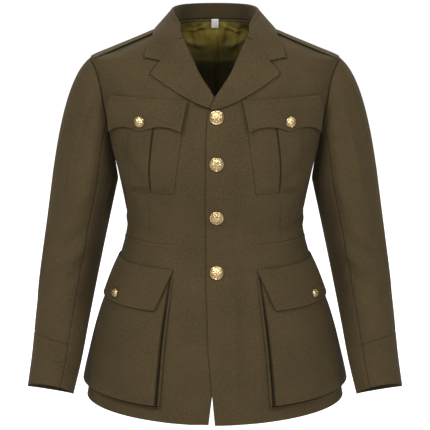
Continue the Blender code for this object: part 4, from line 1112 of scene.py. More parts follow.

# %% Folds of the sleeves
SLEEVE_FOLD_GAIN = 1.9
SLEEVE_FOLDS_LEFT = (
    # start turn, start along, end turn, end along, bow, half width, height of the fold
    (62, 0.10, 66, 1.55, 0.004, 0.0075, 0.0022),
    (82, 0.15, 78, 1.30, -0.003, 0.0070, -0.0020),
    (38, 0.05, 46, 1.20, 0.004, 0.0090, -0.0014),
    (100, 0.40, 92, 2.10, 0.004, 0.0090, 0.0022),
    (112, 2.30, 60, 3.30, 0.008, 0.0110, -0.0024),
    (118, 2.90, 66, 3.70, 0.006, 0.0090, 0.0020),
    (120, 3.40, 70, 4.10, 0.006, 0.0100, -0.0022),
    (30, 2.20, 20, 4.40, 0.006, 0.0150, 0.0018),
    (-20, 1.20, -30, 3.60, -0.006, 0.0160, -0.0020),
    (-70, 0.20, -62, 1.70, 0.004, 0.0090, 0.0024),
    (-90, 0.30, -86, 1.50, 0.003, 0.0080, -0.0020),
    (-100, 2.60, -60, 3.60, -0.006, 0.0120, 0.0024),
    (-110, 3.10, -70, 4.30, -0.006, 0.0110, -0.0022),
    (150, 0.50, 140, 2.20, 0.004, 0.0100, -0.0026),
    (-150, 0.50, -140, 2.00, 0.004, 0.0100, 0.0022),
    (40, 4.60, 50, 6.60, 0.003, 0.0120, 0.0012),
)
SLEEVE_FOLDS_RIGHT = (
    # the same columns
    (60, 0.12, 64, 1.70, 0.005, 0.0080, 0.0024),
    (80, 0.10, 77, 1.20, -0.003, 0.0070, -0.0022),
    (36, 0.08, 42, 1.35, 0.004, 0.0100, -0.0016),
    (98, 0.35, 90, 1.95, 0.005, 0.0090, 0.0020),
    (114, 2.10, 58, 3.10, 0.008, 0.0120, -0.0026),
    (116, 2.70, 64, 3.60, 0.007, 0.0090, 0.0022),
    (121, 3.20, 72, 4.20, 0.005, 0.0100, -0.0020),
    (28, 2.40, 18, 4.60, 0.005, 0.0140, 0.0020),
    (-22, 1.10, -32, 3.40, -0.005, 0.0170, -0.0018),
    (-68, 0.25, -60, 1.60, 0.005, 0.0100, 0.0022),
    (-92, 0.35, -85, 1.60, 0.003, 0.0080, -0.0022),
    (-98, 2.50, -58, 3.70, -0.006, 0.0110, 0.0022),
    (-112, 3.20, -68, 4.20, -0.005, 0.0120, -0.0024),
    (152, 0.60, 142, 2.10, 0.004, 0.0100, -0.0024),
    (-148, 0.45, -142, 2.10, 0.004, 0.0110, 0.0020),
    (42, 4.70, 48, 6.50, 0.003, 0.0130, 0.0014),
)


def sleeve_table(table):
    """The folds' table with turns and ring numbers as metres."""
    turned = in_metres(table, SLEEVE_RADIUS, SLEEVE_FOLD_GAIN)
    turned[:, [1, 3]] *= RING_STEP
    return turned


SLEEVE_FOLDS = {1: sleeve_table(SLEEVE_FOLDS_LEFT), -1: sleeve_table(SLEEVE_FOLDS_RIGHT)}
print("folds on the sleeves:", len(SLEEVE_FOLDS_LEFT) + len(SLEEVE_FOLDS_RIGHT))


# %% The sleeve's surface
CENTRE_STEP = 0.05
ARRIVAL_STEP = 0.1


def ring_value(along, number):
    """One of the arm's ring values at a place along it, where 1 is the first ring."""
    return smooth_value(along, np.arange(1.0, SLEEVE_END + 1), SLEEVE_RINGS[:, number])


def sleeve_centre(along):
    """The middle of the arm at a place along it."""
    return np.stack([ring_value(along, number) for number in range(3)], -1)


def half_turned(turn):
    """The same turn, counted from half a turn back to half a turn on."""
    return (turn + math.pi) % (2 * math.pi) - math.pi


def seam_turned(turn):
    """The turn round the tube for a turn round the armhole, so that both seams run down its inside."""
    turn = half_turned(turn)
    beyond = math.pi - (math.pi - np.abs(turn)) * (math.pi - SEAM_TURN) / (math.pi - TOP_HALF)
    within = np.abs(turn) * SEAM_TURN / TOP_HALF
    return np.sign(turn) * np.where(np.abs(turn) > TOP_HALF, beyond, within)


def sleeve_tube(turn, along):
    """An ellipse square to the arm's centre line; 0 is the outer side and 90 degrees the front."""
    turn = seam_turned(turn)
    above, below = np.clip(along - CENTRE_STEP, 1, SLEEVE_END), np.clip(along + CENTRE_STEP, 1, SLEEVE_END)
    down = unit(sleeve_centre(below) - sleeve_centre(above))
    front = unit(np.array([0.0, -1.0, 0.0]) + down * down[..., 1:2])
    across = ring_value(along, 3) * np.cos(turn)
    fore = ring_value(along, 4) * np.sin(turn)
    return sleeve_centre(along) + across[..., None] * np.cross(front, down) + fore[..., None] * front


def armhole_point(turn, side):
    """Where the sleeve is sewn to the armhole, just clear of its edge."""
    widest = np.where(np.sin(turn) > 0, ARMHOLE_TURN_FRONT, ARMHOLE_TURN_BACK)
    aside = np.sign(np.sin(turn)) * np.abs(np.sin(turn)) ** ARMHOLE_FULLNESS * widest
    height = ARMHOLE_MIDDLE + ARMHOLE_REACH * np.cos(turn)
    return turned_over(worn(math.pi / 2 - aside, height, SEAM_GAP, side), side)


def sleeve_point(turn, along, side):
    """A point of the sleeve: along is 0 at the armhole, 1 at the first ring and 7 at the hem. The head,
    above the first ring, is a cubic between its two ends and their directions."""
    turn, along = np.broadcast_arrays(turn, along)
    t = np.clip(along, 0, 1)[..., None]
    start = armhole_point(turn, side)
    end = sleeve_tube(turn, np.ones_like(along))
    leaves = np.stack([HEAD_ACROSS[0] + HEAD_ACROSS[1] * np.cos(turn), HEAD_FORE * np.sin(turn),
                       HEAD_DOWN[0] + HEAD_DOWN[1] * np.cos(turn)], -1)
    gap = np.linalg.norm(end - start, axis=-1, keepdims=True)
    leaves = unit(leaves) * HEAD_PULL * gap
    arrives = sleeve_centre(np.array(1 + ARRIVAL_STEP)) - sleeve_centre(np.array(1.0))
    arrives = unit(arrives) * TUBE_PULL * gap
    head = (2 * t**3 - 3 * t**2 + 1) * start + (t**3 - 2 * t**2 + t) * leaves
    head += (3 * t**2 - 2 * t**3) * end + (t**3 - t**2) * arrives
    tube = sleeve_tube(turn, np.clip(along, 1, SLEEVE_END))
    return np.where(along[..., None] < 1, head, tube)


ARMHOLE_LOOP = armhole_point(np.radians(np.arange(360)), 1)
print("sleeve's head, m across:", round(float(np.ptp(ARMHOLE_LOOP[:, 1])), 3))

# %% A patch of the sleeve as a wall of cloth
TURN_STEP = 0.01
SLEEVE_SEAM_DIP, SLEEVE_SEAM_WIDTH = 0.0006, 0.0022
CUFF_SEAM_DIP, CUFF_SEAM_WIDTH = 0.0012, 0.0016
# Places along the sleeve between which the folds fade in, and how far above the hem they fade out
SLEEVE_FOLDS_START, SLEEVE_FOLDS_STOP = (0.0, 0.25), 0.3
# Painted shade on the sleeve's side towards the body: its strength, the cosines over which it rises, and the
# places along the arm where it fades
ARM_DARK = 0.45
ARM_DARK_FROM = (-0.05, 0.75)
ARM_DARK_TO = (3.5, 5.8)


def sleeve_cloth(name, turns, along, side, node_name, rims, seam=None):
    """A wall on a patch of the sleeve, with its folds and its edges sunk at the seams. It carries painted
    shade on the side of the body, as a rise of the cosine that points there."""
    turns = np.broadcast_to(turns, along.shape)
    round_it = sleeve_point(turns + TURN_STEP, along, side) - sleeve_point(turns - TURN_STEP, along, side)
    down = sleeve_point(turns, np.clip(along + TURN_STEP, None, SLEEVE_END), side)
    down = down - sleeve_point(turns, np.clip(along - TURN_STEP, 0, None), side)
    square = unit(np.cross(round_it, down))
    out = folds(half_turned(turns) * SLEEVE_RADIUS, along * RING_STEP, SLEEVE_FOLDS[side])
    fade_out = 1 - ease(along, SLEEVE_END - SLEEVE_FOLDS_STOP, SLEEVE_END)
    out = out * ease(along, *SLEEVE_FOLDS_START) * fade_out
    from_seam = np.minimum(np.abs(turns - turns[:, :1]), np.abs(turns - turns[:, -1:])) * SLEEVE_RADIUS
    out = out - SLEEVE_SEAM_DIP * bump(from_seam, SLEEVE_SEAM_WIDTH)
    if seam is not None:
        out = out - CUFF_SEAM_DIP * bump((along - seam) * RING_STEP, CUFF_SEAM_WIDTH)
    base = sleeve_point(turns, along, side)
    outer = turned_over(base + square * out[..., None], side)
    inner = turned_over(base + square * (out - SLEEVE_CLOTH)[..., None], side)
    dark = ARM_DARK * ease(-np.cos(turns), *ARM_DARK_FROM) * (1 - ease(along, *ARM_DARK_TO))
    piece = cloth_wall(name, outer, inner, rims, dark)
    show(piece, node_name, WOOL)


def hem_along(turns):
    """Where the sleeve ends: it rises at the front of the wrist by a half cosine."""
    return SLEEVE_END - HEM_RISE / RING_STEP * np.clip(np.sin(turns + HEM_RISE_TURN), 0, 1)


print("hem, rings down the arm:", hem_along(np.radians((0, 90, 180))).round(3))

# %% Top sleeve, under sleeve and cuff
SEAM_RADIUS = 0.05
HEAD_ROWS = 26
HEAD_CROWD = 1.2
TOP_COLUMNS, UNDER_COLUMNS = 60, 34
TOP_ROWS, CUFF_ROWS, UNDER_ROWS = 92, 44, 110
# How far a rim stands out at the upper edge, one seam, the lower edge and the other seam
TOP_SLEEVE_RIMS = (0.0001, 0.0001, 0.0002, 0.0001)
CUFF_RIMS = (0.0001, 0.0001, 0.0008, 0.0001)


def sleeve(word, side):
    """The three pieces of one sleeve. The cuff's seam goes down in a straight line from the front of the
    arm to its back."""
    half_gap = SLEEVE_SEAM_GAP / 2 / SEAM_RADIUS
    head = np.linspace(0, 1, HEAD_ROWS)[:-1, None] ** HEAD_CROWD

    turns = spread(-TOP_HALF + half_gap, TOP_HALF - half_gap, TOP_COLUMNS, (-TOP_HALF, TOP_HALF), 0.08)
    share = (turns[-1] - turns) / (turns[-1] - turns[0])
    seam = SLEEVE_END - between(CUFF_FRONT_HEIGHT, CUFF_BACK_HEIGHT, share) / RING_STEP
    tube = 1 + (seam - SEAM_GAP / RING_STEP - 1) * spread(0, 1, TOP_ROWS, (1,), 0.01)[:, None]
    along = np.concatenate([np.repeat(head, len(turns), axis=1), tube])
    sleeve_cloth(f"cloth_top_sleeve_{word}", turns, along, side, f"top_sleeve_{word}", TOP_SLEEVE_RIMS, seam)
    along = seam + (hem_along(turns) - seam) * spread(0, 1, CUFF_ROWS, (0, 1), 0.03)[:, None]
    sleeve_cloth(f"cloth_cuff_{word}", turns, along, side, f"cuff_{word}", CUFF_RIMS, seam)

    low, high = TOP_HALF, 2 * math.pi - TOP_HALF
    turns = spread(low + half_gap, high - half_gap, UNDER_COLUMNS, (low, high), 0.08)
    along = np.concatenate([head, spread(1, SLEEVE_END, UNDER_ROWS, (SLEEVE_END,), 0.05)[:, None]])
    shorter = (hem_along(turns) - 1) / (SLEEVE_END - 1)
    along = np.where(along > 1, 1 + (along - 1) * shorter, along)
    sleeve_cloth(f"cloth_under_sleeve_{word}", turns, along, side, f"under_sleeve_{word}", CUFF_RIMS)


for word, side in SIDES:
    sleeve(word, side)

# %% [markdown]
# The shoulder strap is a flat double piece on top of the shoulder, sewn down at the sleeve. It is made
# from the body's own points, moved out, so that it follows every fold of the cloth under it. A flat strip
# bent by a modifier would sink in at one end or stand off at the other.

# %% Shoulder straps
STRAP_TOP, STRAP_BOTTOM, STRAP_CENTRE = -0.0125, -0.0632, -0.009
STRAP_HALF_AT_COLLAR, STRAP_HALF_AT_SLEEVE = 0.0215, 0.0265
STRAP_SEWN = 0.014
STRAP_END_OUT = 0.0012
STRAP_THICKER = 0.0006
STRAP_STITCH_DEPTH = 0.0004
# The stitching's place and width, as shares of half the strap's width
STRAP_STITCH_AT, STRAP_STITCH_WIDTH = 0.82, 0.03
STRAP_ROWS, STRAP_COLUMNS = 60, 30
PATCH_LIFT = 0.0014
PATCH_OUT = PATCH_LIFT + CLOTH
# How far a rim stands out at the sleeve, the back edge, the collar and the front edge
STRAP_RIMS = (0.0001, 0.0009, 0.0006, 0.0009)


def shoulder_strap(word, side):
    """A strip square to the arm: at each height it takes the same fore and aft places, and the body's
    superellipse gives how far across each lies."""
    rows = np.linspace(STRAP_BOTTOM, STRAP_TOP, STRAP_ROWS)
    share = (rows - STRAP_BOTTOM) / (STRAP_TOP - STRAP_BOTTOM)
    half = between(STRAP_HALF_AT_SLEEVE, STRAP_HALF_AT_COLLAR, share)
    wide = spread(-1, 1, STRAP_COLUMNS, (-1, 1), 0.12)
    fore = STRAP_CENTRE + half[:, None] * wide
    rows = np.repeat(rows[:, None], len(wide), axis=1)
    depth = np.where(fore < 0, at_height(FRONT_DEPTHS, rows), at_height(BACK_DEPTHS, rows))
    power = at_height(SQUARENESS, rows)
    across = (1 - np.abs(fore / depth) ** power) ** (1 / power) * at_height(HALF_WIDTHS, rows)
    angles = np.arctan2(across, -fore)
    stitch = STRAP_STITCH_DEPTH * bump(np.abs(wide) - STRAP_STITCH_AT, STRAP_STITCH_WIDTH)
    free = ease(rows, STRAP_BOTTOM, STRAP_BOTTOM + STRAP_SEWN)
    outer = worn(angles, rows, between(STRAP_END_OUT, PATCH_OUT + STRAP_THICKER, free) - stitch, side)
    inner = worn(angles, rows, between(SEAM_GAP, PATCH_LIFT, free), side)
    piece = cloth_wall(f"cloth_strap_{word}", outer, inner, STRAP_RIMS)
    show(piece, f"shoulder_strap_{word}", WOOL)


for word, side in SIDES:
    shoulder_strap(word, side)

# %% [markdown]
# A chest pocket is a patch with a box pleat: a strip that stands above two folds and lets the pocket
# grow. The patch is one grid on the body, like the strap, whose distance out steps up at each fold, with
# a slit beside it. Three separate strips would leave hairline gaps.

# %% Chest pockets with their box pleats
CHEST_POCKET_ROWS = np.array((
    # height, inner edge, inner pleat fold, outer pleat fold, outer edge, angles in degrees
    (-0.3045, 34.8, 52.2, 65.9, 79.5),
    (-0.2950, 33.9, 51.6, 65.4, 79.0),
    (-0.2650, 31.4, 50.1, 63.4, 78.0),
    (-0.2350, 29.1, 48.3, 61.5, 76.3),
    (-0.2050, 27.0, 46.4, 59.9, 74.0),
    (-0.1700, 25.3, 44.6, 58.2, 72.3),
    (-0.1515, 24.5, 44.05, 57.15, 71.6),
))
PLEAT_RISE = 0.0021
PLEAT_STEP = 0.0005
PLEAT_BELLY = 0.0010
PLEAT_SLIT_INNER = 0.0026
PLEAT_SLIT_OUTER = 0.0006
PLEAT_SLIT_AT, PLEAT_SLIT_WIDTH = 0.0012, 0.0008
# Painted shade in the slit beside the pleat's inner fold, and its width
SLIT_DARK, SLIT_DARK_WIDTH = 0.55, 0.0014
PATCH_EDGE_OUT = 0.0011
PATCH_TAPER = 0.012
PATCH_STITCH_DEPTH, PATCH_STITCH_AT, PATCH_STITCH_WIDTH = 0.0002, 0.0045, 0.0007
CHEST_ROWS = 56
# Columns of each of the three strips, where they crowd, and over how wide a share
CHEST_STRIPS = ((30, (0, 0.97), 0.05), (22, (0.02, 0.98), 0.06), (26, (0.03, 1), 0.05))
# How far a rim stands out at the bottom, the outer edge, the top and the inner edge
CHEST_POCKET_RIMS = (0.0008, 0.0008, 0.0001, 0.0008)


def chest_pocket(word, side):
    """The patch. Its distance out is a step up at each pleat fold, with a slit just outside it. Painted
    shade darkens the inner slit and the side towards the arm.
    """
    bottom, top = CHEST_POCKET_ROWS[0, 0], CHEST_POCKET_ROWS[-1, 0]
    rows = spread(bottom, top, CHEST_ROWS, (bottom,), 0.006)
    known_heights, *known_angles = CHEST_POCKET_ROWS.T
    edges = [smooth_value(rows, known_heights, known)[:, None] for known in known_angles]
    strips = [between(low, high, spread(0, 1, *strip))
              for low, high, strip in zip(edges, edges[1:], CHEST_STRIPS)]
    degrees = np.concatenate([strips[0][:, :-1], strips[1][:, :-1], strips[2]], axis=1)
    angles = np.radians(degrees)
    grid_rows = np.repeat(rows[:, None], degrees.shape[1], axis=1)
    radius = ring_radius(angles, grid_rows)
    past_edge, past_inner = (np.radians(degrees - edge) * radius for edge in edges[:2])
    past_outer, to_edge = (np.radians(edge - degrees) * radius for edge in edges[2:])
    on_pleat = ease(past_inner, -PLEAT_STEP, PLEAT_STEP) * ease(past_outer, -PLEAT_STEP, PLEAT_STEP)
    width = np.radians(edges[2] - edges[1]) * radius
    belly = PLEAT_BELLY * np.sin(math.pi * np.clip(past_inner / width, 0, 1))
    out = PATCH_OUT + on_pleat * (PLEAT_RISE + belly)
    out = out - PLEAT_SLIT_INNER * bump(past_inner + PLEAT_SLIT_AT, PLEAT_SLIT_WIDTH)
    out = out - PLEAT_SLIT_OUTER * bump(past_outer + PLEAT_SLIT_AT, PLEAT_SLIT_WIDTH)
    border = np.minimum(np.minimum(past_edge, to_edge), grid_rows - bottom)
    inside = ease(border, 0.0, PATCH_TAPER)
    stitch = PATCH_STITCH_DEPTH * bump(border - PATCH_STITCH_AT, PATCH_STITCH_WIDTH)
    out = between(PATCH_EDGE_OUT, out, inside) - stitch
    under = np.minimum(between(SEAM_GAP / 2, PATCH_LIFT, inside), out - LINING_CLOTH / 2)
    outer, inner = worn(angles, grid_rows, out, side), worn(angles, grid_rows, under, side)
    # Painted shade beside the arm and in the pleat's slit
    dark = side_dark(angles, grid_rows) + SLIT_DARK * bump(past_inner + SLIT_DARK_WIDTH, SLIT_DARK_WIDTH)
    piece = cloth_wall(f"cloth_chest_pocket_{word}", outer, inner, CHEST_POCKET_RIMS, dark)
    show(piece, f"chest_pocket_{word}", WOOL)


for word, side in SIDES:
    chest_pocket(word, side)

# %% [markdown]
# Both kinds of flap hang from a straight seam and are stitched round their edge. The chest flap's lower
# edge is a scallop with its point under the button, and the button's thread pulls a soft hollow into the
# cloth. All four are ruled from the seam to the lower edge, so that one helper gives the grid.

# %% The grid of a flap
def flap_grid(top_line, low_line, across, rise, down):
    """Angles and heights on straight lines from the top edge to the lower one, and the distances below
    the first and above the second. The lower edge is a cubic of the share across, plus a rise."""
    top_angle, top_height, top_end_angle, top_end_height = top_line
    low_angle, low_height, low_end_angle, low_end_height = low_line
    top = np.stack([between(top_angle, top_end_angle, across), between(top_height, top_end_height, across)])
    edge_height = between(low_height, low_end_height, across**3) + rise
    low = np.stack([between(low_angle, low_end_angle, across), edge_height])
    grid = top + (low - top) * down[:, None, None]
    rows = grid[:, 1]
    return np.radians(grid[:, 0]), rows, top[1] - rows, rows - edge_height


def dimple(angles, rows, place, depth, width):
    """A soft hollow that a button pulls into the cloth."""
    aside = (angles - math.radians(place[0])) * FLAT_RADIUS
    return depth * bump(np.hypot(aside, rows - place[1]), width)


FLAP_STITCH_DEPTH = 0.0003
FLAP_STITCH_BELOW = (0.008, 0.010)
DIMPLE_DEPTH, DIMPLE_WIDTH = 0.0006, 0.012
# How far a rim stands out at the seam, the outer edge, the lower edge and the inner edge
FLAP_RIMS = (0.0004, 0.0009, 0.0009, 0.0009)
print("stitches of a flap lie in a groove", 1000 * FLAP_STITCH_DEPTH, "mm deep")

# %% Chest pocket flaps
CHEST_FLAP_TOP = (22.6, -0.1304, 68.5, -0.1256)
CHEST_FLAP_BOTTOM = (26.3, -0.1860, 72.3, -0.1935)
CHEST_FLAP_POINT_SHARE = 0.56
CHEST_FLAP_SCALLOP = 0.0092
CHEST_FLAP_OUT = 0.0080
CHEST_FLAP_PLACES = np.array(((0.0, PATCH_OUT), (0.14, CHEST_FLAP_OUT - 0.0006), (0.55, CHEST_FLAP_OUT),
                              (1.0, CHEST_FLAP_OUT)))
CHEST_BUTTON = (52.0, -0.1693)
CHEST_FLAP_ROWS, CHEST_FLAP_COLUMNS = 44, 76
# The strip along the seam: its width, how thick it is, and the groove and step below it
TOP_STRIP = 0.0058
TOP_STRIP_RISE, TOP_STRIP_STEP = 0.0007, 0.0006
TOP_GROOVE_DEPTH, TOP_GROOVE_WIDTH = 0.0005, 0.0008
CHEST_STITCH_AT, CHEST_STITCH_WIDTH = 0.005, 0.0007
CHEST_FLAP_WIDTH = 0.14
CORNER_CURL, CORNER_CURL_WIDTH = 0.0010, 0.012


def chest_flap(word, side):
    """The flap: its lower edge is two half sines that meet in a point under the button."""
    point = CHEST_FLAP_POINT_SHARE
    across = spread(0, 1, CHEST_FLAP_COLUMNS, (0, point, 1), 0.03)
    wave = np.where(across < point, across / point, (across - point) / (1 - point))
    rise = CHEST_FLAP_SCALLOP * np.sin(math.pi * wave)
    down = spread(0, 1, CHEST_FLAP_ROWS, (0, 0.1, 1), 0.04)
    angles, rows, from_top, above_edge = flap_grid(CHEST_FLAP_TOP, CHEST_FLAP_BOTTOM, across, rise, down)
    out = smooth_value(down, CHEST_FLAP_PLACES[:, 0], CHEST_FLAP_PLACES[:, 1])[:, None]
    out = out + TOP_STRIP_RISE * (1 - ease(from_top, TOP_STRIP - TOP_STRIP_STEP, TOP_STRIP + TOP_STRIP_STEP))
    out = out - TOP_GROOVE_DEPTH * bump(from_top - TOP_STRIP - TOP_GROOVE_WIDTH, TOP_GROOVE_WIDTH)
    from_side = np.minimum(across, 1 - across)[None, :] * CHEST_FLAP_WIDTH
    stitch = bump(np.minimum(from_side, above_edge) - CHEST_STITCH_AT, CHEST_STITCH_WIDTH)
    out = out - FLAP_STITCH_DEPTH * stitch * ease(from_top, *FLAP_STITCH_BELOW)
    out = out - dimple(angles, rows, CHEST_BUTTON, DIMPLE_DEPTH, DIMPLE_WIDTH)
    out = out + CORNER_CURL * ease(down, 0.6, 1)[:, None] * bump(from_side, CORNER_CURL_WIDTH)
    outer, inner = worn(angles, rows, out, side), worn(angles, rows, out - CLOTH, side)
    piece = cloth_wall(f"cloth_chest_flap_{word}", outer, inner, FLAP_RIMS)
    show(piece, f"chest_flap_{word}", WOOL)


for word, side in SIDES:
    chest_flap(word, side)

# %% [markdown]
# The skirt pockets are bellows: a flat front sheet that stands off the skirt, and a strip round three
# sides that folds in like the side of an accordion. From the front the strip is a band beside the sheet,
# darkened with painted shade. The flap above hangs free and stands further off towards its lower edge.

# %% The sheet and the bellows
LOWER_TOP, LOWER_BOTTOM = -0.468, -0.7075
LOWER_INNER, LOWER_OUTER = 39.8, 99.5
GUSSET_TURN = 3.3
GUSSET_DROP = 0.0075
LOWER_STAND = np.array((
    # height, distance of the sheet's middle from the body
    (LOWER_BOTTOM, 0.0125), (-0.570, 0.0125), (-0.530, 0.0100), (-0.495, 0.0062), (LOWER_TOP, 0.0036),
))
LOWER_BASE_OUT = 0.0019
# Painted shade inside the folded bellows
GUSSET_DARK = 0.60
GUSSET_PROFILE = np.array((
    # share of the way from the sheet's edge to the base, share of the sheet's height
    (0.00, 1.00), (0.05, 0.95), (0.11, 0.70), (0.17, 0.32), (0.27, 0.04), (0.42, -0.04), (0.56, 0.04),
    (0.70, 0.30), (0.79, 0.42), (0.87, 0.38), (0.95, 0.16), (1.00, 0.00),
))


def gusset_rise(aside):
    """Share of the sheet's height at this share of the way out from its edge."""
    return smooth_value(np.clip(aside, 0, 1), GUSSET_PROFILE[:, 0], GUSSET_PROFILE[:, 1])


print("bellows stand off the skirt, mm:", 1000 * LOWER_STAND[:, 1].max())

# %% Lower bellows pockets
LOWER_BELLY = 0.0012
LOWER_ROWS = 66
GUSSET_ROWS = 20
# Shares of the way out over which the bellows' painted shade rises, and fades again at the skirt
GUSSET_DARK_IN, GUSSET_DARK_OUT = (0.04, 0.20), (0.66, 0.86)
LOWER_POCKET_RIMS = (0.0003,) * 4


def lower_pocket(word, side):
    """The sheet and its gusset in one grid: angle and height give how far past the sheet's edge a point
    is, and the gusset's profile gives its height."""
    gusset = np.linspace(0, 1, GUSSET_ROWS + 1)[1:]
    sheet = spread(LOWER_INNER, LOWER_OUTER, LOWER_ROWS, (LOWER_INNER, LOWER_OUTER), 1.5)
    inner_gusset, outer_gusset = LOWER_INNER - GUSSET_TURN * gusset[::-1], LOWER_OUTER + GUSSET_TURN * gusset
    degrees = np.concatenate([inner_gusset, sheet, outer_gusset])
    rows = np.concatenate([spread(LOWER_TOP, LOWER_BOTTOM, LOWER_ROWS, (LOWER_BOTTOM,), 0.006),
                           LOWER_BOTTOM - GUSSET_DROP * gusset])
    past_side = np.maximum(LOWER_INNER - degrees, degrees - LOWER_OUTER) / GUSSET_TURN
    past_bottom = (LOWER_BOTTOM - rows) / GUSSET_DROP
    stand = smooth_value(rows, LOWER_STAND[:, 0], LOWER_STAND[:, 1])
    rise = np.minimum(gusset_rise(past_side)[None, :], gusset_rise(past_bottom)[:, None])
    out = LOWER_BASE_OUT + (stand - LOWER_BASE_OUT)[:, None] * rise
    mid = np.clip((degrees - LOWER_INNER) / (LOWER_OUTER - LOWER_INNER), 0, 1)
    down = np.clip((LOWER_TOP - rows) / (LOWER_TOP - LOWER_BOTTOM), 0, 1)
    out = out + LOWER_BELLY * (np.sin(math.pi * mid)[None, :] * np.sin(math.pi * down)[:, None])
    grid_rows = np.repeat(rows[:, None], len(degrees), axis=1)
    angles = np.repeat(np.radians(degrees)[None, :], len(rows), axis=0)
    middle = worn(angles, grid_rows, out, side)
    past = np.clip(np.maximum(past_side[None, :], past_bottom[:, None]), 0, 1)
    # Painted shade beside the arm and inside the bellows
    in_gusset = ease(past, *GUSSET_DARK_IN) * (1 - ease(past, *GUSSET_DARK_OUT))
    dark = side_dark(angles, grid_rows) + GUSSET_DARK * in_gusset
    piece = cloth_wall(f"cloth_lower_pocket_{word}", *two_faces(middle, side), LOWER_POCKET_RIMS, dark)
    show(piece, f"lower_pocket_{word}", WOOL)


for word, side in SIDES:
    lower_pocket(word, side)

# %% Lower pocket flaps
LOWER_FLAP_TOP = (37.2, -0.4520, 106.5, -0.4490)
LOWER_FLAP_BOTTOM = (44.0, -0.5290, 100.5, -0.5290)
LOWER_FLAP_STAND = np.array(((0.0, 0.0022), (0.15, 0.0050), (0.33, 0.0082), (0.65, 0.0124), (1.0, 0.0152)))
LOWER_BUTTON = (72.2, -0.5120)
LOWER_FLAP_CORNER = 0.05
LOWER_FLAP_CORNER_RISE = 0.0075
LOWER_FLAP_ROWS, LOWER_FLAP_COLUMNS = 54, 84
LOWER_FLAP_WIDTH = 0.2
LOWER_TOP_GROOVE_DEPTH = 0.0004
LOWER_STITCH_AT, LOWER_STITCH_WIDTH = 0.0055, 0.0008


def lower_flap(word, side):
    """The flap, with rounded lower corners: the lower edge rises there as a quarter circle."""
    across = spread(0, 1, LOWER_FLAP_COLUMNS, (0, 1), 0.04)
    from_side = np.minimum(across, 1 - across)
    near = np.clip(1 - from_side / LOWER_FLAP_CORNER, 0, 1)
    rise = LOWER_FLAP_CORNER_RISE * (1 - np.sqrt(1 - near**2))
    down = spread(0, 1, LOWER_FLAP_ROWS, (0, 0.05, 1), 0.03)
    angles, rows, from_top, above_edge = flap_grid(LOWER_FLAP_TOP, LOWER_FLAP_BOTTOM, across, rise, down)
    out = smooth_value(down, LOWER_FLAP_STAND[:, 0], LOWER_FLAP_STAND[:, 1])[:, None]
    out = out - LOWER_TOP_GROOVE_DEPTH * bump(from_top - LOWER_STITCH_AT, LOWER_STITCH_WIDTH)
    from_edge = np.minimum(from_side[None, :] * LOWER_FLAP_WIDTH, above_edge)
    stitch = bump(from_edge - LOWER_STITCH_AT, LOWER_STITCH_WIDTH)
    out = out - FLAP_STITCH_DEPTH * stitch * ease(from_top, *FLAP_STITCH_BELOW)
    out = out - dimple(angles, rows, LOWER_BUTTON, DIMPLE_DEPTH, DIMPLE_WIDTH)
    middle = worn(angles, rows, out, side)
    piece = cloth_wall(f"cloth_lower_flap_{word}", *two_faces(middle, side), FLAP_RIMS)
    show(piece, f"lower_flap_{word}", WOOL)


for word, side in SIDES:
    lower_flap(word, side)

# %% [markdown]
# The lining shows through the neck: thin olive satin, cut a little wide and eased into the neck seam,
# so it puckers there. A pleat runs down its centre to leave room for the shoulders to move. Satin
# shows each small bend, because its long floating threads shine.

# %% Puckers of the lining
PUCKERS = (
    # start across, start height, end across, end height, bow, half width, height of the fold
    (-0.066, -0.004, -0.052, -0.046, 0.003, 0.0056, -0.0044),
    (-0.053, -0.003, -0.045, -0.026, -0.002, 0.0040, 0.0012),
    (-0.043, -0.005, -0.028, -0.058, 0.004, 0.0058, -0.0048),
    (-0.031, -0.004, -0.027, -0.024, 0.001, 0.0036, 0.0012),
    (-0.022, -0.006, -0.014, -0.042, -0.002, 0.0048, -0.0037),
    (0.020, -0.004, 0.016, -0.050, 0.002, 0.0050, -0.0041),
    (0.031, -0.005, 0.026, -0.028, 0.001, 0.0038, 0.0012),
    (0.044, -0.004, 0.030, -0.062, -0.004, 0.0060, -0.0051),
    (0.057, -0.006, 0.050, -0.034, 0.002, 0.0042, 0.0012),
    (-0.074, -0.026, -0.010, -0.050, 0.006, 0.0070, -0.0051),
    (0.072, -0.022, 0.008, -0.054, -0.006, 0.0070, -0.0051),
    (-0.090, -0.080, 0.090, -0.078, 0.004, 0.0060, -0.0020),
    (-0.070, -0.066, 0.070, -0.064, 0.003, 0.0070, 0.0008),
    (-0.050, -0.034, -0.060, -0.110, 0.004, 0.0090, -0.0030),
    (0.052, -0.038, 0.062, -0.120, -0.004, 0.0090, -0.0030),
    (-0.030, -0.060, -0.026, -0.130, 0.003, 0.0080, 0.0012),
    (0.032, -0.056, 0.028, -0.126, -0.003, 0.0080, 0.0012),
    (-0.062, -0.017, -0.018, -0.011, 0.002, 0.0030, -0.0026),
    (-0.050, -0.025, -0.012, -0.020, -0.002, 0.0030, 0.0011),
    (0.016, -0.011, 0.060, -0.019, 0.002, 0.0030, -0.0028),
    (0.014, -0.021, 0.048, -0.027, -0.002, 0.0030, 0.0011),
)
print("puckers:", len(PUCKERS))

# %% The satin lining of the back
LINING_TOP, LINING_BOTTOM = -0.0040, -0.715
LINING_OUT, LINING_OUT_AT_NECK = -0.0066, -0.0034
LINING_RISE = (-0.045, -0.012)
PUCKER_FADE = (0.0, 0.006)
# The pleat's depth and fade, and its edges: place across, half width and share of the depth
LINING_PLEAT, PLEAT_FADE = 0.0024, (0.012, 0.026)
PLEAT_EDGES = ((0.003, 0.0030, 1.0), (-0.003, 0.0026, -0.5))
SEAM_PULL, SEAM_PULL_WIDTH = 0.0008, 0.012
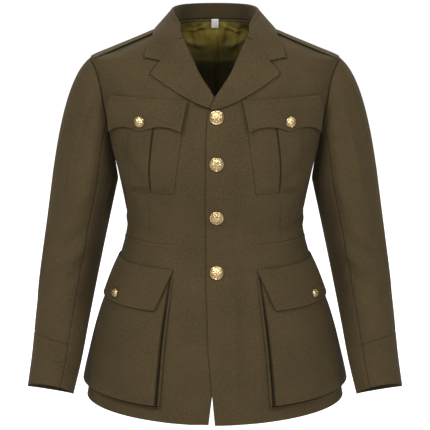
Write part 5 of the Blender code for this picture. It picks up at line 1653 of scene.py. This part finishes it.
# Painted shade, darker towards the bottom of the lining inside the jacket, and the heights below the neck
# over which it grows
LINING_DARK = 0.90
LINING_DARKENS = (0.008, 0.105)
LINING_LOW_ROWS, LINING_ARMHOLE_ROWS, LINING_TOP_ROWS = 74, 50, 44
LINING_COLUMNS = 70
# How far a rim stands out at the bottom, one armhole, the neck and the other armhole
LINING_RIMS = (0.0003, 0.0001, 0.0003, 0.0001)


def lining():
    """The lining: the back's surface moved inwards, with puckers, the centre pleat and its seam. The
    pleat is a deep round bump and a shallow one of the other sign beside it."""
    low_rows = spread(LINING_BOTTOM, ARMHOLE_BOTTOM, LINING_LOW_ROWS)[:-1]
    top_rows = spread(SHOULDER_POINT, LINING_TOP, LINING_TOP_ROWS, (LINING_TOP,), 0.01)[1:]
    rows = np.concatenate([low_rows, armhole_heights(LINING_ARMHOLE_ROWS), top_rows])
    low = math.pi / 2 + armhole_turn(rows, ARMHOLE_TURN_BACK)
    left = low[:, None] + (math.pi - low)[:, None] * spread(0, 1, LINING_COLUMNS, (1,), 0.3)
    angles = np.concatenate([left, 2 * math.pi - left[:, -2::-1]], axis=1)
    grid_rows = np.repeat(rows[:, None], angles.shape[1], axis=1)
    across = body_ring(angles, grid_rows)[..., 0]
    below_top = LINING_TOP - grid_rows
    out = between(LINING_OUT, LINING_OUT_AT_NECK, ease(grid_rows, *LINING_RISE))
    out = out + folds(across, grid_rows, PUCKERS) * ease(below_top, *PUCKER_FADE)
    pleat = sum(share * bump(across - place, width) for place, width, share in PLEAT_EDGES)
    pull = SEAM_PULL * bump(across, SEAM_PULL_WIDTH)
    out = out - ease(below_top, *PLEAT_FADE) * (LINING_PLEAT * pleat + pull)
    outer, inner = on_body(angles, grid_rows, out), on_body(angles, grid_rows, out - LINING_CLOTH)
    # Painted shade, darker lower down inside the jacket
    dark = LINING_DARK * ease(-grid_rows, *LINING_DARKENS)
    piece = cloth_wall("satin_lining_back", outer, inner, LINING_RIMS, dark)
    show(piece, "lining_back", SATIN)


lining()

# %% [markdown]
# The size label is a bit of white tape, sewn down at its top and a little curled below. It hangs from
# the lining's own surface, so that it can't sink into a pucker.

# %% The blank size label
LABEL_HALF_WIDTH = 0.007
LABEL_TOP, LABEL_BOTTOM = 0.0002, -0.0138
LABEL_CLOTH = 0.0006
LABEL_OUT = LINING_OUT_AT_NECK - LINING_CLOTH - 0.0010
LABEL_CURL, LABEL_CURL_FROM = 0.0009, 0.004
LABEL_WAVE, LABEL_WAVES = 0.0002, 5
LABEL_RIMS = (0.0003,) * 4


def size_label():
    """A square of white tape, its lower edge turned a little off the lining."""
    rows = np.linspace(LABEL_BOTTOM, LABEL_TOP, 24)
    turn = LABEL_HALF_WIDTH / at_height(BACK_DEPTHS, rows)
    wide = np.linspace(-1, 1, 26)
    angles = math.pi + turn[:, None] * wide
    grid_rows = np.repeat(rows[:, None], len(wide), axis=1)
    curl = LABEL_CURL * ease(-grid_rows, LABEL_CURL_FROM, -LABEL_BOTTOM)
    curl = curl + LABEL_WAVE * np.sin(LABEL_WAVES * wide)[None, :]
    outer = on_body(angles, grid_rows, LABEL_OUT - curl)
    inner = on_body(angles, grid_rows, LABEL_OUT - LABEL_CLOTH - curl)
    piece = cloth_wall("tape_size_label", outer, inner, LABEL_RIMS)
    show(piece, "size_label", TAPE)


size_label()

# %% [markdown]
# The buttons are stamped in thin metal and gilt. Each is a profile turned round its axis: a rolled rim,
# a groove, and a dome. The relief on the dome is a plain rosette with beads round it. It is made in the
# same grid as a sum of sines, since a flat picture would not catch the light.

# %% Gilt metal
GILT_COLOUR = (0.96, 0.74, 0.40, 1)
HOLLOW_COLOUR = (0.30, 0.16, 0.04, 1)
GILT_ROUGHNESS, WEAR_ROUGHNESS = 0.12, 0.14
WEAR_SCALE = 260


def gilt_material():
    """Polished brass-coloured metal, browner in its hollows and a little duller where noise is high."""
    material = bpy.data.materials.new("gilt metal")
    material.use_nodes = True
    tree = material.node_tree
    shader = tree.nodes["Principled BSDF"]
    place = node(tree, "ShaderNodeTexCoord", (-900, 0))
    wear = noise(tree, place.outputs["Object"], WEAR_SCALE, 3, (-700, 0))
    hollow = node(tree, "ShaderNodeAttribute", (-700, 250), attribute_name="hollow")
    mix = node(tree, "ShaderNodeMix", (-300, 200), data_type="RGBA")
    tree.links.new(hollow.outputs["Fac"], mix.inputs["Factor"])
    mix.inputs["A"].default_value = GILT_COLOUR
    mix.inputs["B"].default_value = HOLLOW_COLOUR
    tree.links.new(mix.outputs["Result"], shader.inputs["Base Color"])
    rough = math_node(tree, "MULTIPLY", wear, WEAR_ROUGHNESS, (-450, -50))
    rough = math_node(tree, "ADD", rough, GILT_ROUGHNESS, (-300, -50))
    tree.links.new(rough, shader.inputs["Roughness"])
    shader.inputs["Metallic"].default_value = 1.0
    return material


GILT = gilt_material()
print("metal:", GILT.name)

# %% A button's profile, and where the buttons sit
FRONT_BUTTON_RADIUS = 0.0127
POCKET_BUTTON_RADIUS = 0.0095
BUTTON_PROFILE = np.array((
    # share of the way along the profile, radius and height as shares of the button's radius
    (0.00, 0.00, 0.00), (0.16, 0.55, 0.00), (0.24, 0.86, 0.01), (0.30, 0.965, 0.06), (0.35, 1.00, 0.15),
    (0.40, 0.985, 0.235), (0.45, 0.935, 0.265), (0.50, 0.885, 0.25), (0.55, 0.845, 0.25),
    (0.62, 0.76, 0.335), (0.72, 0.60, 0.44), (0.84, 0.36, 0.53), (0.94, 0.14, 0.572), (1.00, 0.00, 0.58),
))
# Height of each front button, and how far out its back lies
FRONT_BUTTONS = ((-0.1593, 0.0007), (-0.2447, 0.0011), (-0.3486, 0.0016), (-0.4538, 0.0013))
FRONT_BUTTON_ACROSS = 0.0029
POCKET_BUTTON_GAP = 0.0002
LOWER_BUTTON_OUT = 0.0152
print("button profile:", len(BUTTON_PROFILE), "points")

# %% The relief of a button
BUTTON_PETALS, PETAL_HEIGHT = 8, 0.055
BUTTON_BEADS, BEAD_HEIGHT = 30, 0.05
BOSS_HEIGHT = 0.035
# Radii of the petals' middle, the beads and the boss, and of the groove beside the rim
PETAL_AT, BEADS_AT, BOSS_AT, GROOVE_AT = 0.40, 0.74, 0.16, 0.865
BEADS_WIDTH, BOSS_EDGE, GROOVE_WIDTH = 0.05, 0.03, 0.03
DOME_FROM = (0.56, 0.60)
HOLLOW_SHARE = 0.55


def button_relief(turns, along, reach):
    """The dome's relief and how deep in a hollow each point is. Petals are where the cosine of eight
    turns is high, less towards both ends; beads are a cosine of thirty turns on one ring; the boss is a
    small round step in the middle."""
    dome = ease(along, *DOME_FROM)
    petal = np.cos(BUTTON_PETALS * turns)[None, :] * 0.5 + 0.62 - np.abs(reach - PETAL_AT) * 1.6
    petal = np.clip(petal, 0, 1) ** 0.7
    beads = (0.5 + 0.5 * np.cos(BUTTON_BEADS * turns))[None, :] * bump(reach - BEADS_AT, BEADS_WIDTH)
    boss = ease(BOSS_AT - reach, 0, BOSS_EDGE)
    relief = PETAL_HEIGHT * petal * ease(reach, 0.12, 0.2) + BEAD_HEIGHT * beads + BOSS_HEIGHT * boss
    hollow = dome * np.clip(1 - petal - beads - boss, 0, 1) * HOLLOW_SHARE
    hollow = hollow + bump(reach - GROOVE_AT, GROOVE_WIDTH) * (along > 0.5)
    return dome * relief, np.clip(hollow, 0, 1)


print("petals and beads:", BUTTON_PETALS, BUTTON_BEADS)

# %% The eight buttons
BUTTON_TURNS = 120
BUTTON_RINGS = 56


def button(name, node_name, foot, facing, radius):
    """A profile turned round its axis, with the relief added along the axis, closed by a fan of
    triangles at the foot and at the top."""
    facing = unit(facing)
    sideways = unit(np.cross(facing, [0.0, 0.0, 1.0]))
    upward = np.cross(sideways, facing)
    turns = np.linspace(0, 2 * math.pi, BUTTON_TURNS, endpoint=False)
    along = spread(0, 1, BUTTON_RINGS + 2, (0.5, 0.8), 0.2)[1:-1, None]
    reach = smooth_value(along, BUTTON_PROFILE[:, 0], BUTTON_PROFILE[:, 1])
    relief, hollow = button_relief(turns, along, reach)
    high = smooth_value(along, BUTTON_PROFILE[:, 0], BUTTON_PROFILE[:, 2]) + relief
    circle = np.cos(turns)[:, None] * sideways + np.sin(turns)[:, None] * upward
    rings = foot + radius * (facing * high[..., None] + circle[None, :, :] * reach[..., None])
    top = foot + facing * radius * (BUTTON_PROFILE[-1, 2] + BOSS_HEIGHT)
    points = np.concatenate([rings.reshape(-1, 3), [foot, top]])
    numbers = np.arange(BUTTON_RINGS * BUTTON_TURNS).reshape(BUTTON_RINGS, BUTTON_TURNS)
    closed = np.concatenate([numbers, numbers[:, :1]], axis=1)
    faces = quads(closed[:-1], closed[1:]).tolist()
    faces += [(len(points) - 2, int(b), int(a)) for a, b in zip(closed[0, :-1], closed[0, 1:])]
    faces += [(len(points) - 1, int(a), int(b)) for a, b in zip(closed[-1, :-1], closed[-1, 1:])]
    if volume_sign(points[np.array([face[:3] for face in faces])] - foot) < 0:
        faces = [tuple(reversed(face)) for face in faces]
    mesh = bpy.data.meshes.new(name)
    mesh.from_pydata(points.tolist(), [], faces)
    mesh.shade_smooth()
    values = np.append(hollow.ravel(), [0, 0])
    mesh.attributes.new("hollow", "FLOAT", "POINT").data.foreach_set("value", values)
    mesh.materials.append(GILT)
    piece = in_scene(name, mesh)
    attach(piece, "root")
    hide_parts(node_name)


def button_on(name, place, out, radius, side=1):
    """A button at this angle and height, its back this far out, facing square to the body."""
    angle, height = np.array(place[0]), np.array(place[1])
    foot = worn(angle, height, out, side)
    facing = turned_over(on_body(angle, height, 1.0) - on_body(angle, height, 0.0), side)
    button(f"gilt_{name}", f"button_{name}", foot, facing, radius)
    fold = np.linalg.norm(worn(angle, height, 0.0, side) - turned_over(on_body(angle, height), side))
    print(f"button {name}: {2000 * radius:.1f} mm across, folds move its cloth {1000 * fold:.2f} mm")


for number, (height, out) in enumerate(FRONT_BUTTONS, 1):
    place = (angle_across(FRONT_BUTTON_ACROSS, height), height)
    button_on(f"front_{number}", place, out, FRONT_BUTTON_RADIUS)
POCKET_BUTTONS = (("chest", CHEST_BUTTON, CHEST_FLAP_OUT), ("lower", LOWER_BUTTON, LOWER_BUTTON_OUT))
for word, side in SIDES:
    for name, (degrees, height), out in POCKET_BUTTONS:
        place = (math.radians(degrees), height)
        button_on(f"{name}_{word}", place, out + POCKET_BUTTON_GAP, POCKET_BUTTON_RADIUS, side)

# %% [markdown]
# A product photograph shows its subject on white, with no corner in sight. Here a wide flat sheet of
# pale paper lies under the jacket, and both it and the world glow only for the camera. So they look
# white but add hardly any light of their own. A curved wall of paper would need far more lamps.

# %% The floor
FLOOR_HEIGHT = -1.02
FLOOR_RADIUS = 30.0
FLOOR_RINGS, FLOOR_TURNS = 10, 64
FLOOR_GLOW = 0.95
PAPER_COLOUR = (0.90, 0.90, 0.90, 1)
WHITE = (1, 1, 1, 1)


def pale_paper():
    """Dull pale paper that glows where the camera itself looks at it."""
    material = bpy.data.materials.new("pale paper")
    material.use_nodes = True
    tree = material.node_tree
    shader = tree.nodes["Principled BSDF"]
    shader.inputs["Base Color"].default_value = PAPER_COLOUR
    shader.inputs["Roughness"].default_value = 0.9
    shader.inputs["Emission Color"].default_value = WHITE
    ray = node(tree, "ShaderNodeLightPath", (-500, 0))
    glow = math_node(tree, "MULTIPLY", ray.outputs["Is Camera Ray"], FLOOR_GLOW, (-250, 0))
    tree.links.new(glow, shader.inputs["Emission Strength"])
    return material


def round_floor():
    """A wide round sheet of paper, in rings that grow with the square of their number."""
    turns = np.linspace(0, 2 * math.pi, FLOOR_TURNS, endpoint=False)
    rings = FLOOR_RADIUS * np.linspace(0.05, 1, FLOOR_RINGS)[:, None] ** 2
    flat = np.full((FLOOR_RINGS, FLOOR_TURNS), FLOOR_HEIGHT)
    grid = np.stack([rings * np.cos(turns), rings * np.sin(turns), flat], -1)
    numbers = np.arange(flat.size).reshape(flat.shape)
    closed = np.concatenate([numbers, numbers[:, :1]], axis=1)
    faces = [tuple(range(FLOOR_TURNS))] + quads(closed[1:], closed[:-1]).tolist()
    mesh = bpy.data.meshes.new("pale_floor")
    mesh.from_pydata(grid.reshape(-1, 3).tolist(), [], faces)
    mesh.materials.append(pale_paper())
    in_scene("pale_floor", mesh)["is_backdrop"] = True
    print("floor, m across:", 2 * FLOOR_RADIUS)


round_floor()

# %% [markdown]
# Two large soft lamps in front, the left one stronger, show the cloth's folds without hard shadows. A
# weak one near the camera fills the neck, and two behind light the back. Sunlight or one small lamp
# would draw black shadows under the flaps.

# %% The lamps
LIGHTS = (
    # name, place, aim, width, height, power, colour
    ("left key", (-1.5, -2.0, 1.8), (0.0, 0.0, -0.30), 1.1, 1.0, 45, (1.0, 0.98, 0.95)),
    ("right key", (1.6, -2.0, 1.5), (0.0, 0.0, -0.30), 1.1, 1.0, 28, (1.0, 0.99, 0.97)),
    ("front", (0.1, -2.6, 0.7), (0.0, 0.0, -0.40), 0.5, 0.5, 11, (1.0, 1.0, 1.0)),
    ("back left", (-1.4, 2.3, 1.6), (0.0, 0.0, -0.30), 1.0, 0.9, 32, (1.0, 1.0, 1.0)),
    ("back right", (1.6, 2.1, 1.4), (0.0, 0.0, -0.30), 1.0, 0.9, 22, (1.0, 1.0, 1.0)),
)
for name, place, aim, width, height, power, colour in LIGHTS:
    data = bpy.data.lights.new(name, "AREA")
    data.shape = "RECTANGLE"
    data.size, data.size_y = width, height
    data.energy = power
    data.color = colour
    lamp = in_scene(name, data)
    lamp.location = place
    towards = Vector(aim) - Vector(place)
    lamp.rotation_euler = towards.to_track_quat("-Z", "Y").to_euler()
print("lamps:", len(LIGHTS), "with", sum(row[5] for row in LIGHTS), "W in all")

# %% The world: white for the camera, dim for the cloth, and between the two in the gilt's reflections
SOFT_STRENGTH, BRIGHT_STRENGTH = 0.09, 1.0
GLOSSY_SHARE = 0.35
world = bpy.data.worlds.new("studio")
world.use_nodes = True
world_tree = world.node_tree
soft = world_tree.nodes["Background"]
soft.inputs["Strength"].default_value = SOFT_STRENGTH
bright = node(world_tree, "ShaderNodeBackground", (0, -200))
bright.inputs["Strength"].default_value = BRIGHT_STRENGTH
ray = node(world_tree, "ShaderNodeLightPath", (0, 300))
choose = node(world_tree, "ShaderNodeMixShader", (250, 0))
for background in (soft, bright):
    background.inputs["Color"].default_value = WHITE
shine = math_node(world_tree, "MULTIPLY", ray.outputs["Is Glossy Ray"], GLOSSY_SHARE, (0, 450))
seen = math_node(world_tree, "ADD", ray.outputs["Is Camera Ray"], shine, (150, 300))
world_tree.links.new(seen, choose.inputs["Fac"])
world_tree.links.new(soft.outputs[0], choose.inputs[1])
world_tree.links.new(bright.outputs[0], choose.inputs[2])
world_tree.links.new(choose.outputs[0], world_tree.nodes["World Output"].inputs["Surface"])
bpy.context.scene.world = world
print("world:", world.name, "with", len(world_tree.nodes), "nodes")

# %% [markdown]
# The camera is 2.1 m away, a little above the shoulders, and looks 14 degrees down, as in the reference.
# The hem, the flaps and the waist seam are level on the garment, and their bend in the picture fixed
# both numbers. The plain view transform keeps the colours as the lamps make them.

# %% The camera
CAMERA_PLACE = (0.0, -2.10, 0.16)
CAMERA_TILT = 14.2
CAMERA_LENS, SENSOR_WIDTH = 93.0, 36.0
camera_data = bpy.data.cameras.new("camera")
camera_data.lens = CAMERA_LENS
camera_data.sensor_width = SENSOR_WIDTH
camera = in_scene("camera", camera_data)
camera.location = CAMERA_PLACE
camera.rotation_euler = (math.radians(90 - CAMERA_TILT), 0.0, 0.0)
bpy.context.scene.camera = camera
bpy.context.scene.view_settings.view_transform = "Standard"
print("camera, m from the jacket:", -CAMERA_PLACE[1])

# %% [markdown]
# Last, the triangles of the pieces that now stand in for the plain solids are counted. The scene adds
# only what lies within a fold of the cloth.

# %% Triangles, and the end
total = sum(sum(len(face.vertices) - 2 for face in piece.data.polygons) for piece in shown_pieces())
print("triangles in all:", total)
